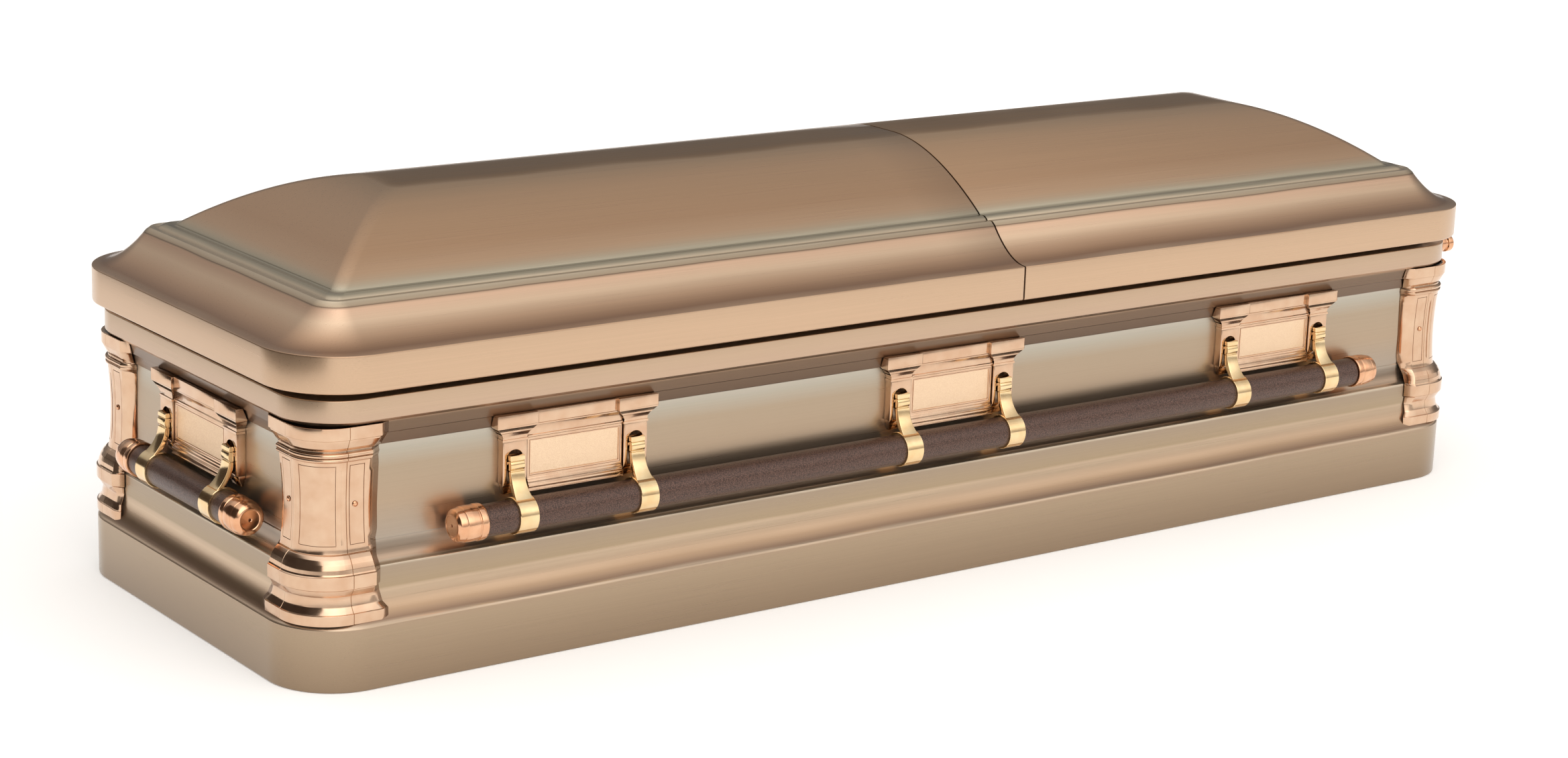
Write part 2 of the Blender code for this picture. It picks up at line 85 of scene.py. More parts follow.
# ---- what a user can change ------------------------------------------------------------------
class CasketSizes(bpy.types.PropertyGroup):
    """Sizes that shape the finer pieces"""

    sheet: FloatProperty(
        name="Sheet", description="Thickness of the pressed steel sheet",
        default=0.0015, min=0.0008, max=0.003, unit="LENGTH")
    corner_steps: IntProperty(
        name="Corner steps", description="Facets in each rounded corner of the sheet",
        default=28, min=6, max=64)
    fillet_steps: IntProperty(
        name="Fillet steps", description="Facets in each small rounding of a moulding",
        default=4, min=2, max=10)
    turned_steps: IntProperty(
        name="Turned steps", description="Facets round a turned piece",
        default=56, min=16, max=96)
    ring_width: FloatProperty(
        name="Ring width", description="Width of the band that an arm wraps round the bar",
        default=0.0285, min=0.02, max=0.04, unit="LENGTH")
    groove: FloatProperty(
        name="Groove", description="Depth of the incised lines on the castings",
        default=0.0009, min=0.0003, max=0.002, unit="LENGTH")


class StudioSettings(bpy.types.PropertyGroup):
    """Camera and light"""

    lens: FloatProperty(
        name="Lens", description="Focal length", default=74.85, min=20, max=200, unit="CAMERA")
    softbox: FloatProperty(
        name="Softbox", description="Power of the overhead softbox", default=16.0, min=0, unit="POWER")


# ---- mesh helpers ----------------------------------------------------------------------------
def vertices_of(result):
    return [item for item in result["geom"] if isinstance(item, bmesh.types.BMVert)]


def edges_of(result, key="geom"):
    return [item for item in result[key] if isinstance(item, bmesh.types.BMEdge)]


def everything(form):
    return form.verts[:] + form.edges[:] + form.faces[:]


def face_outward(form):
    bmesh.ops.recalc_face_normals(form, faces=form.faces[:])


def filleted(corners, steps):
    """A line through (inset, height, radius) corners, each rounded off with an arc of its radius."""
    points = [Vector((c[0], c[1], 0.0)) for c in corners]
    path = [points[0]]
    for before, corner, after, (_, _, radius) in zip(points, points[1:], points[2:], corners[1:]):
        back, on = (before - corner), (after - corner)
        half = back.angle(on) / 2
        if radius <= 0 or half > math.radians(88):
            path.append(corner)
            continue
        reach = min(radius / math.tan(half), back.length * 0.49, on.length * 0.49)
        radius = reach * math.tan(half)
        centre = corner + (back.normalized() + on.normalized()).normalized() * radius / math.sin(half)
        start = corner + back.normalized() * reach - centre
        end = corner + on.normalized() * reach - centre
        path += [centre + start.slerp(end, s / steps).normalized() * radius for s in range(steps + 1)]
    path.append(points[-1])
    return [(p.x, p.y) for p in path]


def bead(inset, height, radius, start, end, steps):
    """Points round a bead: 0 degrees is its outermost point and 90 degrees its top."""
    angles = [math.radians(start + (end - start) * s / steps) for s in range(steps + 1)]
    return [(inset - radius * math.cos(a), height + radius * math.sin(a)) for a in angles]


def bend(start, control, end, steps):
    """A smooth bend from start to end, pulled towards control."""
    return [tuple(start[k] * (1 - t) ** 2 + 2 * control[k] * t * (1 - t) + end[k] * t * t
                  for k in (0, 1)) for t in (s / steps for s in range(steps + 1))]


def line_of(form, points):
    """Joins a list of points with edges; gives the vertices and the edges."""
    line = [form.verts.new(p) for p in points]
    return line, [form.edges.new(pair) for pair in zip(line, line[1:])]


def extruded(form, edges):
    """Extrudes edges where they lie; gives the new vertices and edges."""
    out = bmesh.ops.extrude_edge_only(form, edges=edges)
    return vertices_of(out), edges_of(out)


def run_on(form, edges, *shifts):
    """Extrudes edges by each shift in turn."""
    for shift in shifts:
        vertices, edges = extruded(form, edges)
        bmesh.ops.translate(form, verts=vertices, vec=shift)


def turned_form(profile, steps):
    """A profile of (distance along X, radius) turned about the X axis."""
    form = bmesh.new()
    points, edges = line_of(form, [(along, radius, 0.0) for along, radius in profile])
    bmesh.ops.spin(form, geom=points + edges, cent=(0, 0, 0), axis=(1, 0, 0), use_merge=True,
                   angle=2 * math.pi, steps=steps)
    bmesh.ops.remove_doubles(form, verts=form.verts[:], dist=MERGE)
    face_outward(form)
    return form


def prism_form(outline, shift):
    """A solid between a flat outline and its copy moved by shift."""
    form = bmesh.new()
    face = form.faces.new([form.verts.new(p) for p in outline])
    out = bmesh.ops.extrude_face_region(form, geom=[face])
    bmesh.ops.translate(form, verts=vertices_of(out), vec=shift)
    face_outward(form)
    return form


def stacked_form(levels, ease=0.0):
    """A solid of stacked rectangles, each (height, half width, front, back), from the bottom up, its
    upright edges rounded to the radius ease."""
    turns = (0, 30, 60, 90) if ease else (45,)

    def outline(level):
        height, half, front, back = level
        x, y0, y1 = half - ease, front + ease, back - ease
        spots = (x, y1), (-x, y1), (-x, y0), (x, y0)
        return [Vector((x + ease * math.cos(a), y + ease * math.sin(a), height))
                for quarter, (x, y) in enumerate(spots)
                for a in (math.radians(90 * quarter + turn) for turn in turns)]

    form = bmesh.new()
    before = outline(levels[0])
    face = form.faces.new([form.verts.new(p) for p in before])
    for level in levels[1:]:
        after = outline(level)
        out = bmesh.ops.extrude_face_region(form, geom=[face])
        face = next(item for item in out["geom"] if isinstance(item, bmesh.types.BMFace))
        for vertex in face.verts:
            nearest = min(range(len(before)), key=lambda i: (before[i] - vertex.co).length)
            vertex.co = after[nearest]
        before = after
    face_outward(form)
    return form


def put_in_order(form):
    """Rebuilds a form with its parts in order of place, so that a bevel comes out the same each run."""
    sweep = Vector((1.0, 7.3, 53.7))
    form.verts.sort(key=lambda vertex: vertex.co.dot(sweep))
    form.edges.sort(key=lambda edge: (edge.verts[0].co + edge.verts[1].co).dot(sweep))
    form.faces.sort(key=lambda face: face.calc_center_median().dot(sweep))
    ordered = bpy.data.meshes.new("ordered")
    form.to_mesh(ordered)
    form.clear()
    form.from_mesh(ordered)
    bpy.data.meshes.remove(ordered)


def round_edges(form, edges, width, segments):
    bmesh.ops.bevel(form, geom=edges, offset=width, segments=segments, profile=0.5, affect="EDGES",
                    material=-1, clamp_overlap=True)


def soften_edges(form, width, angle=25):
    """Rounds every edge that is sharper than angle."""
    put_in_order(form)
    sharp = [e for e in form.edges if e.is_manifold and e.calc_face_angle(0) > math.radians(angle)]
    round_edges(form, sharp, width, 2)


def mesh_of(name, form, smooth_angle=30):
    mesh = bpy.data.meshes.new(name)
    form.to_mesh(mesh)
    form.free()
    mesh.shade_smooth()
    mesh.set_sharp_from_angle(angle=math.radians(smooth_angle))
    return mesh


def joined(name, forms, smooth_angle=30):
    """One mesh from several bmeshes."""
    whole = bmesh.new()
    for form in forms:
        part = bpy.data.meshes.new("part")
        form.to_mesh(part)
        form.free()
        whole.from_mesh(part)
        bpy.data.meshes.remove(part)
    return mesh_of(name, whole, smooth_angle)


def add_piece(name, mesh, body, slot, materials, *nodes):
    """Puts a finished mesh in the scene, riding on its body in place of its CAD nodes."""
    piece = bpy.data.objects.new(name, mesh)
    bpy.context.scene.collection.objects.link(piece)
    for material in materials:
        mesh.materials.append(material)
    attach(piece, body)
    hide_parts(*nodes)
    return piece


def placed_copy(mesh, matrix):
    copy = mesh.copy()
    copy.transform(matrix)
    return copy


def add_modifier(piece, name, kind, **settings):
    modifier = piece.modifiers.new(name, kind)
    for setting, value in settings.items():
        setattr(modifier, setting, value)
    return modifier


# ---- material helpers ------------------------------------------------------------------------
def linear(hex_colour):
    """sRGB hex to a linear colour."""
    values = [int(hex_colour[i:i + 2], 16) / 255 for i in (1, 3, 5)]
    return tuple(v / 12.92 if v <= 0.04045 else ((v + 0.055) / 1.055) ** 2.4 for v in values) + (1.0,)


def add_node(tree, kind, links=(), inputs=(), **settings):
    """A node with its settings, the values of its sockets, and links into its sockets."""
    node = tree.nodes.new(kind)
    for setting, value in settings.items():
        setattr(node, setting, value)
    for socket, value in dict(inputs).items():
        node.inputs[socket].default_value = value
    for socket, source in dict(links).items():
        tree.links.new(source, node.inputs[socket])
    return node


def set_ramp(ramp, stops):
    elements = ramp.color_ramp.elements
    while len(elements) < len(stops):
        elements.new(0.5)
    for element, (position, colour) in zip(elements, stops):
        element.position = position
        element.color = colour


def new_material(name, **surface):
    """A material with a Principled surface; uniform values go straight on its sockets."""
    material = bpy.data.materials.get(name)
    if material:
        return material, None, None
    material = bpy.data.materials.new(name)
    material.use_nodes = True
    shader = material.node_tree.nodes["Principled BSDF"]
    for socket, value in surface.items():
        shader.inputs[socket.replace("_", " ")].default_value = value
    return material, material.node_tree, shader


def brushing(tree, across, along):
    """Fine lines along the sheet: streaks along X on the long sides and top, along Y on the ends."""
    coordinates = add_node(tree, "ShaderNodeTexCoord")
    flat = add_node(tree, "ShaderNodeSeparateXYZ", links={0: coordinates.outputs["Normal"]})
    on_end = add_node(tree, "ShaderNodeMath", operation="ABSOLUTE", links={0: flat.outputs["X"]})
    is_end = add_node(tree, "ShaderNodeMath", operation="GREATER_THAN", links={0: on_end.outputs[0]},
                      inputs={1: 0.72})
    streaks = []
    for scale in ((along, across, across), (across, along, across)):
        stretch = add_node(tree, "ShaderNodeMapping", links={"Vector": coordinates.outputs["Object"]},
                           inputs={"Scale": scale})
        streaks.append(add_node(tree, "ShaderNodeTexNoise", links={"Vector": stretch.outputs[0]},
                                inputs={"Scale": 1.0, "Detail": 3.0, "Roughness": 0.6}))
    return add_node(tree, "ShaderNodeMix", data_type="FLOAT",
                    links={0: is_end.outputs[0], 2: streaks[0].outputs[0], 3: streaks[1].outputs[0]})


def sheet_material(name, low, high, stops):
    """Pressed steel sheet, scratch-brushed and sprayed with tinted lacquer: satin, with soft stretched
    highlights, and bands of colour by height that follow the mouldings: the lacquer's bronze and silver,
    with painted highlights and painted shade set among them by the stops."""
    material, tree, shader = new_material(name, Metallic=0.92, Roughness=0.3, Coat_Weight=0.35,
                                          Coat_Roughness=0.12)
    if tree is None:
        return material
    coordinates = add_node(tree, "ShaderNodeTexCoord")
    place = add_node(tree, "ShaderNodeSeparateXYZ", links={0: coordinates.outputs["Object"]})
    drift = add_node(tree, "ShaderNodeTexNoise", links={"Vector": coordinates.outputs["Object"]},
                     inputs={"Scale": 3.0, "Detail": 2.0})  # the spray wanders over about 300 mm
    shift = add_node(tree, "ShaderNodeMath", operation="MULTIPLY_ADD", links={0: drift.outputs[0]},
                     inputs={1: 0.006, 2: -0.003})
    height = add_node(tree, "ShaderNodeMath", operation="ADD",
                      links={0: place.outputs["Z"], 1: shift.outputs[0]})
    share = add_node(tree, "ShaderNodeMapRange", links={0: height.outputs[0]},
                     inputs={1: low, 2: high, 3: 0.0, 4: 1.0})
    # The ramp holds the lacquer's colours together with painted light and shade, by height.
    ramp = add_node(tree, "ShaderNodeValToRGB", links={0: share.outputs[0]})
    set_ramp(ramp, [((z - low) / (high - low), linear(colour)) for z, colour in stops])
    # Brush lines are about 0.1 mm wide on the real sheet; drawn at about 1.2 mm so that they show.
    lines = brushing(tree, 800.0, 3.0)
    tint = add_node(tree, "ShaderNodeMapRange", links={0: lines.outputs[0]},
                    inputs={1: 0.3, 2: 0.7, 3: 0.965, 4: 1.035})
    shade = add_node(tree, "ShaderNodeVectorMath", operation="SCALE",
                     links={0: ramp.outputs[0], 3: tint.outputs[0]})
    tree.links.new(shade.outputs[0], shader.inputs["Base Color"])
    rough = add_node(tree, "ShaderNodeMapRange", links={0: lines.outputs[0]},
                     inputs={1: 0.3, 2: 0.7, 3: 0.27, 4: 0.35})
    tree.links.new(rough.outputs[0], shader.inputs["Roughness"])
    relief = add_node(tree, "ShaderNodeBump", links={"Height": lines.outputs[0]},
                      inputs={"Strength": 0.05, "Distance": 0.0002})
    tree.links.new(relief.outputs[0], shader.inputs["Normal"])
    return material


def body_sheet():
    """The body's colours by height: the lacquer's bronze on the bands and silver at the head and foot of
    the side panels, with painted light: painted highlights on the band's top edge, the sweep and the
    shoulder's edge, and painted shade on the ledge over the band, at the panel's foot where the bar's
    shadow falls, under the rim and in the gap under the lid.
    """
    return sheet_material("brushed_champagne_body_sheet", 0.0, 0.392, (
        # Painted highlights at 0.0855, 0.108-0.118 and 0.1568; painted shade at 0.088-0.098, down to 0.180
        # (the bar's shadow), 0.3122-0.3425 (under the rim) and 0.392 (the gap under the lid); the band
        # darkens towards its foot.
        (0.0000, "#927d66"), (0.0750, "#a79279"), (0.0835, "#a9927a"), (0.0855, "#e2c9ad"),
        (0.0880, "#977a63"), (0.0980, "#a5896d"), (0.1080, "#cdb093"), (0.1180, "#d2b99d"),
        (0.1240, "#c0a88e"), (0.1270, "#a99478"), (0.1530, "#a6937e"), (0.1568, "#dccdb6"),
        (0.1600, "#ac937c"), (0.1800, "#8e8071"), (0.1860, "#ab9d8d"), (0.1900, "#a99a8a"),
        (0.2350, "#b09a82"), (0.2800, "#ad9a83"), (0.3030, "#b2aa9b"), (0.3110, "#b9b1a3"),
        (0.3122, "#6f5947"), (0.3425, "#77604c"), (0.3455, "#a88a6e"), (0.3500, "#c0a48c"),
        (0.3800, "#c6ab8f"), (0.3920, "#3a322b")))


def lid_sheet():
    """The lid's colours by height: the lacquer's bronze below and above and silver over the two beads,
    with painted light: painted shade at the cove's foot and in the dark lines beside the beads, a
    painted highlight on the cove's upper part, and a darker crown that is a painted reflection of the
    dim room.
    """
    crown = LID_TOP - 0.0010
    return sheet_material("brushed_bronze_lid_sheet", LID_FOOT, LID_TOP, (
        # Painted shade at 0.4430, 0.4858 and 0.4960; painted highlight at 0.4700; the crown's dark stops
        # are a painted reflection.
        (LID_FOOT, "#c8a98c"), (0.4385, "#ccad8f"), (0.4430, "#936d4f"), (0.4560, "#b99678"),
        (0.4700, "#d6b89a"), (0.4830, "#cfab8f"), (0.4848, "#bc9c81"), (0.4858, "#6f5a47"),
        (0.4868, "#b09a80"), (0.4925, "#c3b299"), (0.4960, "#8f8672"), (0.4985, "#b0a58f"),
        (0.5060, "#b79c80"), (0.5120, "#b99778"), (0.5300, "#b28d6c"), (0.5700, "#ba9572"),
        (crown - 0.0012, "#b69572"), (crown, "#977144"), (LID_TOP, "#8d6738")))


def plated_metal(name, colour, lighter, roughness):
    """Cast zinc, polished and plated: crisp mirror highlights with slight cloudiness from hand
    polishing, and painted shade in the hollows, where the colour darkens by ambient occlusion."""
    material, tree, shader = new_material(name, Metallic=1.0, Roughness=roughness, Coat_Weight=0.25,
                                          Coat_Roughness=0.05)
    if tree is None:
        return material
    coordinates = add_node(tree, "ShaderNodeTexCoord")
    cloud = add_node(tree, "ShaderNodeTexNoise", links={"Vector": coordinates.outputs["Object"]},
                     inputs={"Scale": 45.0, "Detail": 3.0})  # polishing marks about 20 mm across
    blend = add_node(tree, "ShaderNodeValToRGB", links={0: cloud.outputs[0]})
    set_ramp(blend, [(0.3, linear(colour)), (0.7, linear(lighter))])
    # Painted shade: the colour falls to 0.6 of itself where other surfaces close in within 6 mm.
    hollow = add_node(tree, "ShaderNodeAmbientOcclusion", inputs={"Distance": 0.006}, samples=6)
    deep = add_node(tree, "ShaderNodeMapRange", links={0: hollow.outputs["AO"]},
                    inputs={1: 0.2, 2: 0.85, 3: 0.6, 4: 1.0})
    shade = add_node(tree, "ShaderNodeVectorMath", operation="SCALE",
                     links={0: blend.outputs[0], 3: deep.outputs[0]})
    tree.links.new(shade.outputs[0], shader.inputs["Base Color"])
    rough = add_node(tree, "ShaderNodeMapRange", links={0: cloud.outputs[0]},
                     inputs={1: 0.3, 2: 0.7, 3: roughness * 0.8, 4: roughness * 1.2})
    tree.links.new(rough.outputs[0], shader.inputs["Roughness"])
    return material


def rose_gold():
    """Rose-gold plate on the castings and plates: pale and pinkish."""
    return plated_metal("polished_rose_gold_plate", "#d0aa8c", "#dbbb9e", 0.16)


def yellow_gold():
    """Yellow-gold plate on the arms: the lightest and warmest of the three."""
    return plated_metal("polished_yellow_gold_plate", "#ecc995", "#f6dcae", 0.15)


def copper():
    """Copper plate on the ferrules, the screws and the lock plug: the reddest of the three."""
    return plated_metal("polished_copper_plate", "#dca37c", "#edbd97", 0.17)


def stippled_rose_gold():
    """The lug plates' insert, struck all over with a fine punch: it sparkles instead of mirroring."""
    material, tree, shader = new_material("stippled_rose_gold_plate", Metallic=1.0, Roughness=0.34)
    if tree is None:
        return material
    coordinates = add_node(tree, "ShaderNodeTexCoord")
    dots = add_node(tree, "ShaderNodeTexVoronoi", links={"Vector": coordinates.outputs["Object"]},
                    inputs={"Scale": 1300.0})  # punch marks 0.8 mm apart
    # Painted shade: the colour is darkest at the bottom of each punch mark.
    tone = add_node(tree, "ShaderNodeValToRGB", links={0: dots.outputs["Distance"]})
    set_ramp(tone, [(0.05, linear("#dcb693")), (0.6, linear("#f8dcbc"))])
    tree.links.new(tone.outputs[0], shader.inputs["Base Color"])
    relief = add_node(tree, "ShaderNodeBump", links={"Height": dots.outputs["Distance"]},
                      inputs={"Strength": 0.5, "Distance": 0.0004})
    tree.links.new(relief.outputs[0], shader.inputs["Normal"])
    return material


def pebbled_coating():
    """Steel tube in a baked, leather-grained coating: dark brown, with a low metallic sheen, painted
    highlights on the tops of the grain, painted shade between them, and painted shade on the underside."""
    material, tree, shader = new_material("dark_brown_pebbled_coating", Metallic=0.45, Roughness=0.36,
                                          Coat_Weight=0.3, Coat_Roughness=0.3)
    if tree is None:
        return material
    coordinates = add_node(tree, "ShaderNodeTexCoord")
    warp = add_node(tree, "ShaderNodeTexNoise", links={"Vector": coordinates.outputs["Object"]},
                    inputs={"Scale": 300.0, "Detail": 2.0})
    spread = add_node(tree, "ShaderNodeVectorMath", operation="MULTIPLY_ADD",
                      links={0: warp.outputs["Color"], 2: coordinates.outputs["Object"]},
                      inputs={1: (0.002, 0.002, 0.002)})
    pebbles = add_node(tree, "ShaderNodeTexVoronoi", links={"Vector": spread.outputs[0]},
                       inputs={"Scale": 620.0})  # pebbles 1.6 mm across
    # Painted highlight on each pebble's top and painted shade between the pebbles.
    tone = add_node(tree, "ShaderNodeValToRGB", links={0: pebbles.outputs["Distance"]})
    set_ramp(tone, [(0.0, linear("#7f5f51")), (0.35, linear("#5a4035")), (0.8, linear("#3b2820"))])
    # Painted shade: the colour falls to a quarter where other surfaces close in within 100 mm, most of all
    # under the bar.
    under = add_node(tree, "ShaderNodeAmbientOcclusion", inputs={"Distance": 0.10}, samples=6)
    depth = add_node(tree, "ShaderNodeMapRange", links={0: under.outputs["AO"]},
                     inputs={1: 0.25, 2: 0.85, 3: 0.25, 4: 1.0})
    shade = add_node(tree, "ShaderNodeVectorMath", operation="SCALE",
                     links={0: tone.outputs[0], 3: depth.outputs[0]})
    tree.links.new(shade.outputs[0], shader.inputs["Base Color"])
    relief = add_node(tree, "ShaderNodeBump", links={"Height": pebbles.outputs["Distance"]},
                      inputs={"Strength": 0.6, "Distance": 0.0005}, invert=True)
    tree.links.new(relief.outputs[0], shader.inputs["Normal"])
    return material


# ---- sheet body and lid ----------------------------------------------------------------------
def moulded_quarter(profile, corner, half_length, half_width, steps):
    """A quarter of a moulding: the profile turned round a corner and run on to the two middles.
    profile is a list of (inset, height), and corner is the radius that inset 0 has."""
    cx, cy = half_length - corner, half_width - corner
    settle = 0.004  # a short run first keeps the long flats' shading flat
    form = bmesh.new()
    line, edges = line_of(form, [(cx + corner - inset, cy, height) for inset, height in profile])
    turned = bmesh.ops.spin(form, geom=line + edges, cent=(cx, cy, 0), axis=(0, 0, 1),
                            angle=math.pi / 2, steps=steps)
    run_on(form, edges, (0, -settle, 0), (0, settle - cy, 0))
    run_on(form, edges_of(turned, "geom_last"), (-settle, 0, 0), (settle - cx, 0, 0))
    bmesh.ops.remove_doubles(form, verts=form.verts[:], dist=MERGE)
    return form


def mirror_round(form):
    """Makes the whole of a quarter."""
    for axis in ("X", "Y"):
        bmesh.ops.mirror(form, geom=everything(form), matrix=Matrix.Identity(4), merge_dist=MERGE,
                         axis=axis)


def open_loop(form, height):
    """The open edges that lie level at a height."""
    return [e for e in form.edges if e.is_boundary and all(abs(v.co.z - height) < MERGE for v in e.verts)]


def close_loop(form, height):
    """Fills the open loop that lies level at a height."""
    bmesh.ops.edgeloop_fill(form, edges=open_loop(form, height))


def body_profile(steps):
    """The body from under the floor's edge up to the lip round its mouth."""
    band = filleted([(0.030, 0.0, 0), (0.0, 0.0, 0.003), (0.0, 0.0838, 0.0014), (0.0022, 0.0861, 0)],
                    steps)[:-1]
    sweep = bend((0.0010, 0.0852), (0.0166, 0.0960), (0.0208, 0.1235), 20)
    shoulder = filleted([(0.0208, 0.1236, 0), (0.0210, 0.1250, 0.0006), (0.0210, 0.1565, 0.0032),
                         (0.0245, 0.1572, 0.0004), (0.0262, 0.1574, 0)], steps)[:-1]
    hollow = [(0.0250 + 0.0118 * math.sin(a), 0.1574 + 0.0284 * (1 - math.cos(a)))
              for a in (math.radians(90 * s / 14) for s in range(15))]
    panel = filleted([(0.0368, 0.1859, 0), (PANEL_INSET, PANEL_FOOT, 0.0005),
                      (PANEL_INSET, PANEL_HEAD, 0.0008), (0.0352, 0.3125, 0.0005),
                      (0.0305, 0.3275, 0.0006), (0.0285, 0.3285, 0.0004), (0.0245, 0.3450, 0.0008),
                      (0.0185, 0.3465, 0.0010), (0.0145, 0.3510, 0.0016), (0.0145, 0.3800, 0.0018),
                      (0.0455, 0.3800, 0.0008), (0.0465, 0.3908, 0.0008), (0.0580, 0.3908, 0.0008),
                      (0.0580, 0.3740, 0)], steps)[1:]
    return band + sweep + shoulder + hollow + panel


def make_body(context):
    sizes = context.scene.casket_sizes
    form = moulded_quarter(body_profile(sizes.fillet_steps), BASE_CORNER, HALF_LENGTH, HALF_WIDTH,
                           sizes.corner_steps)
    mirror_round(form)
    close_loop(form, 0.0)
    face_outward(form)
    piece = add_piece("moulded_body", mesh_of("moulded_body", form), "shell", "champagne_body_metal",
                      [body_sheet()], "body_shell")
    add_modifier(piece, "Sheet thickness", "SOLIDIFY", thickness=sizes.sheet, offset=-1.0)


def lid_profile(steps):
    """The lid from the inner edge of its flange up to its upper bead."""
    top = FLANGE_TOP
    flange = filleted([(0.062, LID_FOOT + 0.0004, 0), (0.0, LID_FOOT + 0.0001, 0.0030),
                       (0.0, top, 0.0016), (0.0085, top + 0.0008, 0.0020),
                       (0.0200, top + 0.0036, 0)], steps)[:-1]
    cove = [(0.073 * s, top + 0.0468 * s * s) for s in (0.16 + 0.84 * k / 16 for k in range(17))]
    upper_bead = [(0.0755, top + 0.0486), (0.0790, top + 0.0512), (0.0850, top + 0.0514),
                  (0.0880, top + 0.0500), (0.0900, top + 0.0504)]
    return flange + cove + upper_bead


def lid_dome():
    """Steps of the dome above the upper bead, as (inset, height) from its lowest ring inwards."""
    top = FLANGE_TOP
    rim = [(0.0925, top + 0.0532), (0.0975, top + 0.0560), (0.1035, top + 0.0558),
           (0.1062, top + 0.0550), (0.1085, top + 0.0562)]
    foot, head = (0.1095, 0.0578), (0.315, 0.1425)
    dome = [(foot[0] + (head[0] - foot[0]) * s, top + foot[1] + (head[1] - foot[1]) * (1 - (1 - s) ** 1.85))
            for s in (k / 24 * 0.92 for k in range(1, 25))]
    return rim + [(foot[0], top + foot[1])] + dome + [(head[0], top + head[1])]


def make_lid_form(steps, corner_steps):
    """Both lid panels in one, before the parting."""
    profile = lid_profile(steps)
    form = moulded_quarter(profile, LID_CORNER, LID_HALF_LENGTH, LID_HALF_WIDTH, corner_steps)
    inset, height = profile[-1]
    edges = open_loop(form, height)
    for next_inset, next_height in lid_dome():
        vertices, edges = extruded(form, edges)
        step = next_inset - inset
        for vertex in vertices:
            vertex.co.x -= step if vertex.co.x > MERGE else 0.0
            vertex.co.y -= step if vertex.co.y > MERGE else 0.0
            vertex.co.z = next_height
        inset, height = next_inset, next_height
    mirror_round(form)
    close_loop(form, height)
    face_outward(form)
    return form


def make_lid(context, name, edge, keep_low):
    """One lid panel: the whole lid cut at the parting, with the cut edge turned in."""
    sizes = context.scene.casket_sizes
    form = make_lid_form(sizes.fillet_steps, sizes.corner_steps)
    cut = bmesh.ops.bisect_plane(form, geom=everything(form), plane_co=(edge, 0, 0),
                                 plane_no=(1, 0, 0), clear_outer=keep_low, clear_inner=not keep_low)
    parting = edges_of(cut, "geom_cut")
    turned_in, _ = extruded(form, parting)
    shrink = Matrix.Diagonal((1.0, 0.955, 0.93, 1.0))  # towards the middle of the parting's foot
    bmesh.ops.transform(form, matrix=shrink, verts=turned_in,
                        space=Matrix.Translation((0, 0, -LID_FOOT - 0.001)))
    face_outward(form)
    crease = [e for e in parting if e.is_valid and e.is_manifold]
    round_edges(form, crease, 0.0008, 3)
    piece = add_piece(f"{name}_panel_sheet", mesh_of(name, form), f"{name.split('_')[0]}_panel",
                      "champagne_body_metal", [lid_sheet()], name)
    add_modifier(piece, "Sheet thickness", "SOLIDIFY", thickness=sizes.sheet, offset=-1.0)


# ---- corner castings -------------------------------------------------------------------------
def casting_profile(steps):
    """The casting's face from the foot up, as (inset, height)."""
    foot = filleted([(0.0070, 0.0897, 0), (0.0062, 0.0897, 0.0004), (0.0060, 0.1035, 0.0008),
                     (0.0078, 0.1042, 0.0006), (0.0128, 0.1120, 0.008), (0.0148, 0.1240, 0.008),
                     (0.0085, 0.1345, 0.0040), (0.0080, 0.1358, 0.0005), (0.0064, 0.1368, 0.0005),
                     (0.0062, 0.1540, 0.0006), (0.0082, 0.1552, 0.0005), (0.0090, 0.1572, 0.0008),
                     (0.0098, 0.1622, 0.0060), (0.0122, 0.1686, 0.0060), (0.0158, 0.1742, 0.0060),
                     (0.0200, 0.1786, 0.0040), (0.0228, 0.1796, 0.0006), (0.0234, 0.1835, 0)],
                    steps)[:-1]
    low, high = FRAME_HEIGHTS
    heights = [low + c for c in CUTS] + [high - c for c in CUTS] + [0.1835, 0.1865, 0.2965, 0.2985]
    heights += [low + 0.0060 + (high - low - 0.0120) * k / 14 for k in range(15)]
    waist = [(0.0270 - 0.94 * (z - 0.242) ** 2, z) for z in sorted(heights)]
    neck = bead(0.0232, 0.3020, 0.0024, -80, 80, 6) + bead(0.0236, 0.3078, 0.0031, -80, 80, 7)
    capital = filleted([(0.0245, 0.3112, 0), (0.0250, 0.3135, 0.0008), (0.0222, 0.3175, 0.006),
                        (0.0176, 0.3268, 0.006), (0.0176, 0.3284, 0.0004), (0.0160, 0.3292, 0.0004),
                        (0.0160, 0.3452, 0.0006), (0.0180, 0.3452, 0)], steps)
    return foot + waist + neck + capital


def stepwise(table, value):
    """Reads a table of (key, value) pairs, in rising order, between its entries."""
    if value <= table[0][0]:
        return table[0][1]
    for (k0, v0), (k1, v1) in zip(table, table[1:]):
        if value <= k1:
            return v0 + (v1 - v0) * (value - k0) / (k1 - k0)
    return table[-1][1]


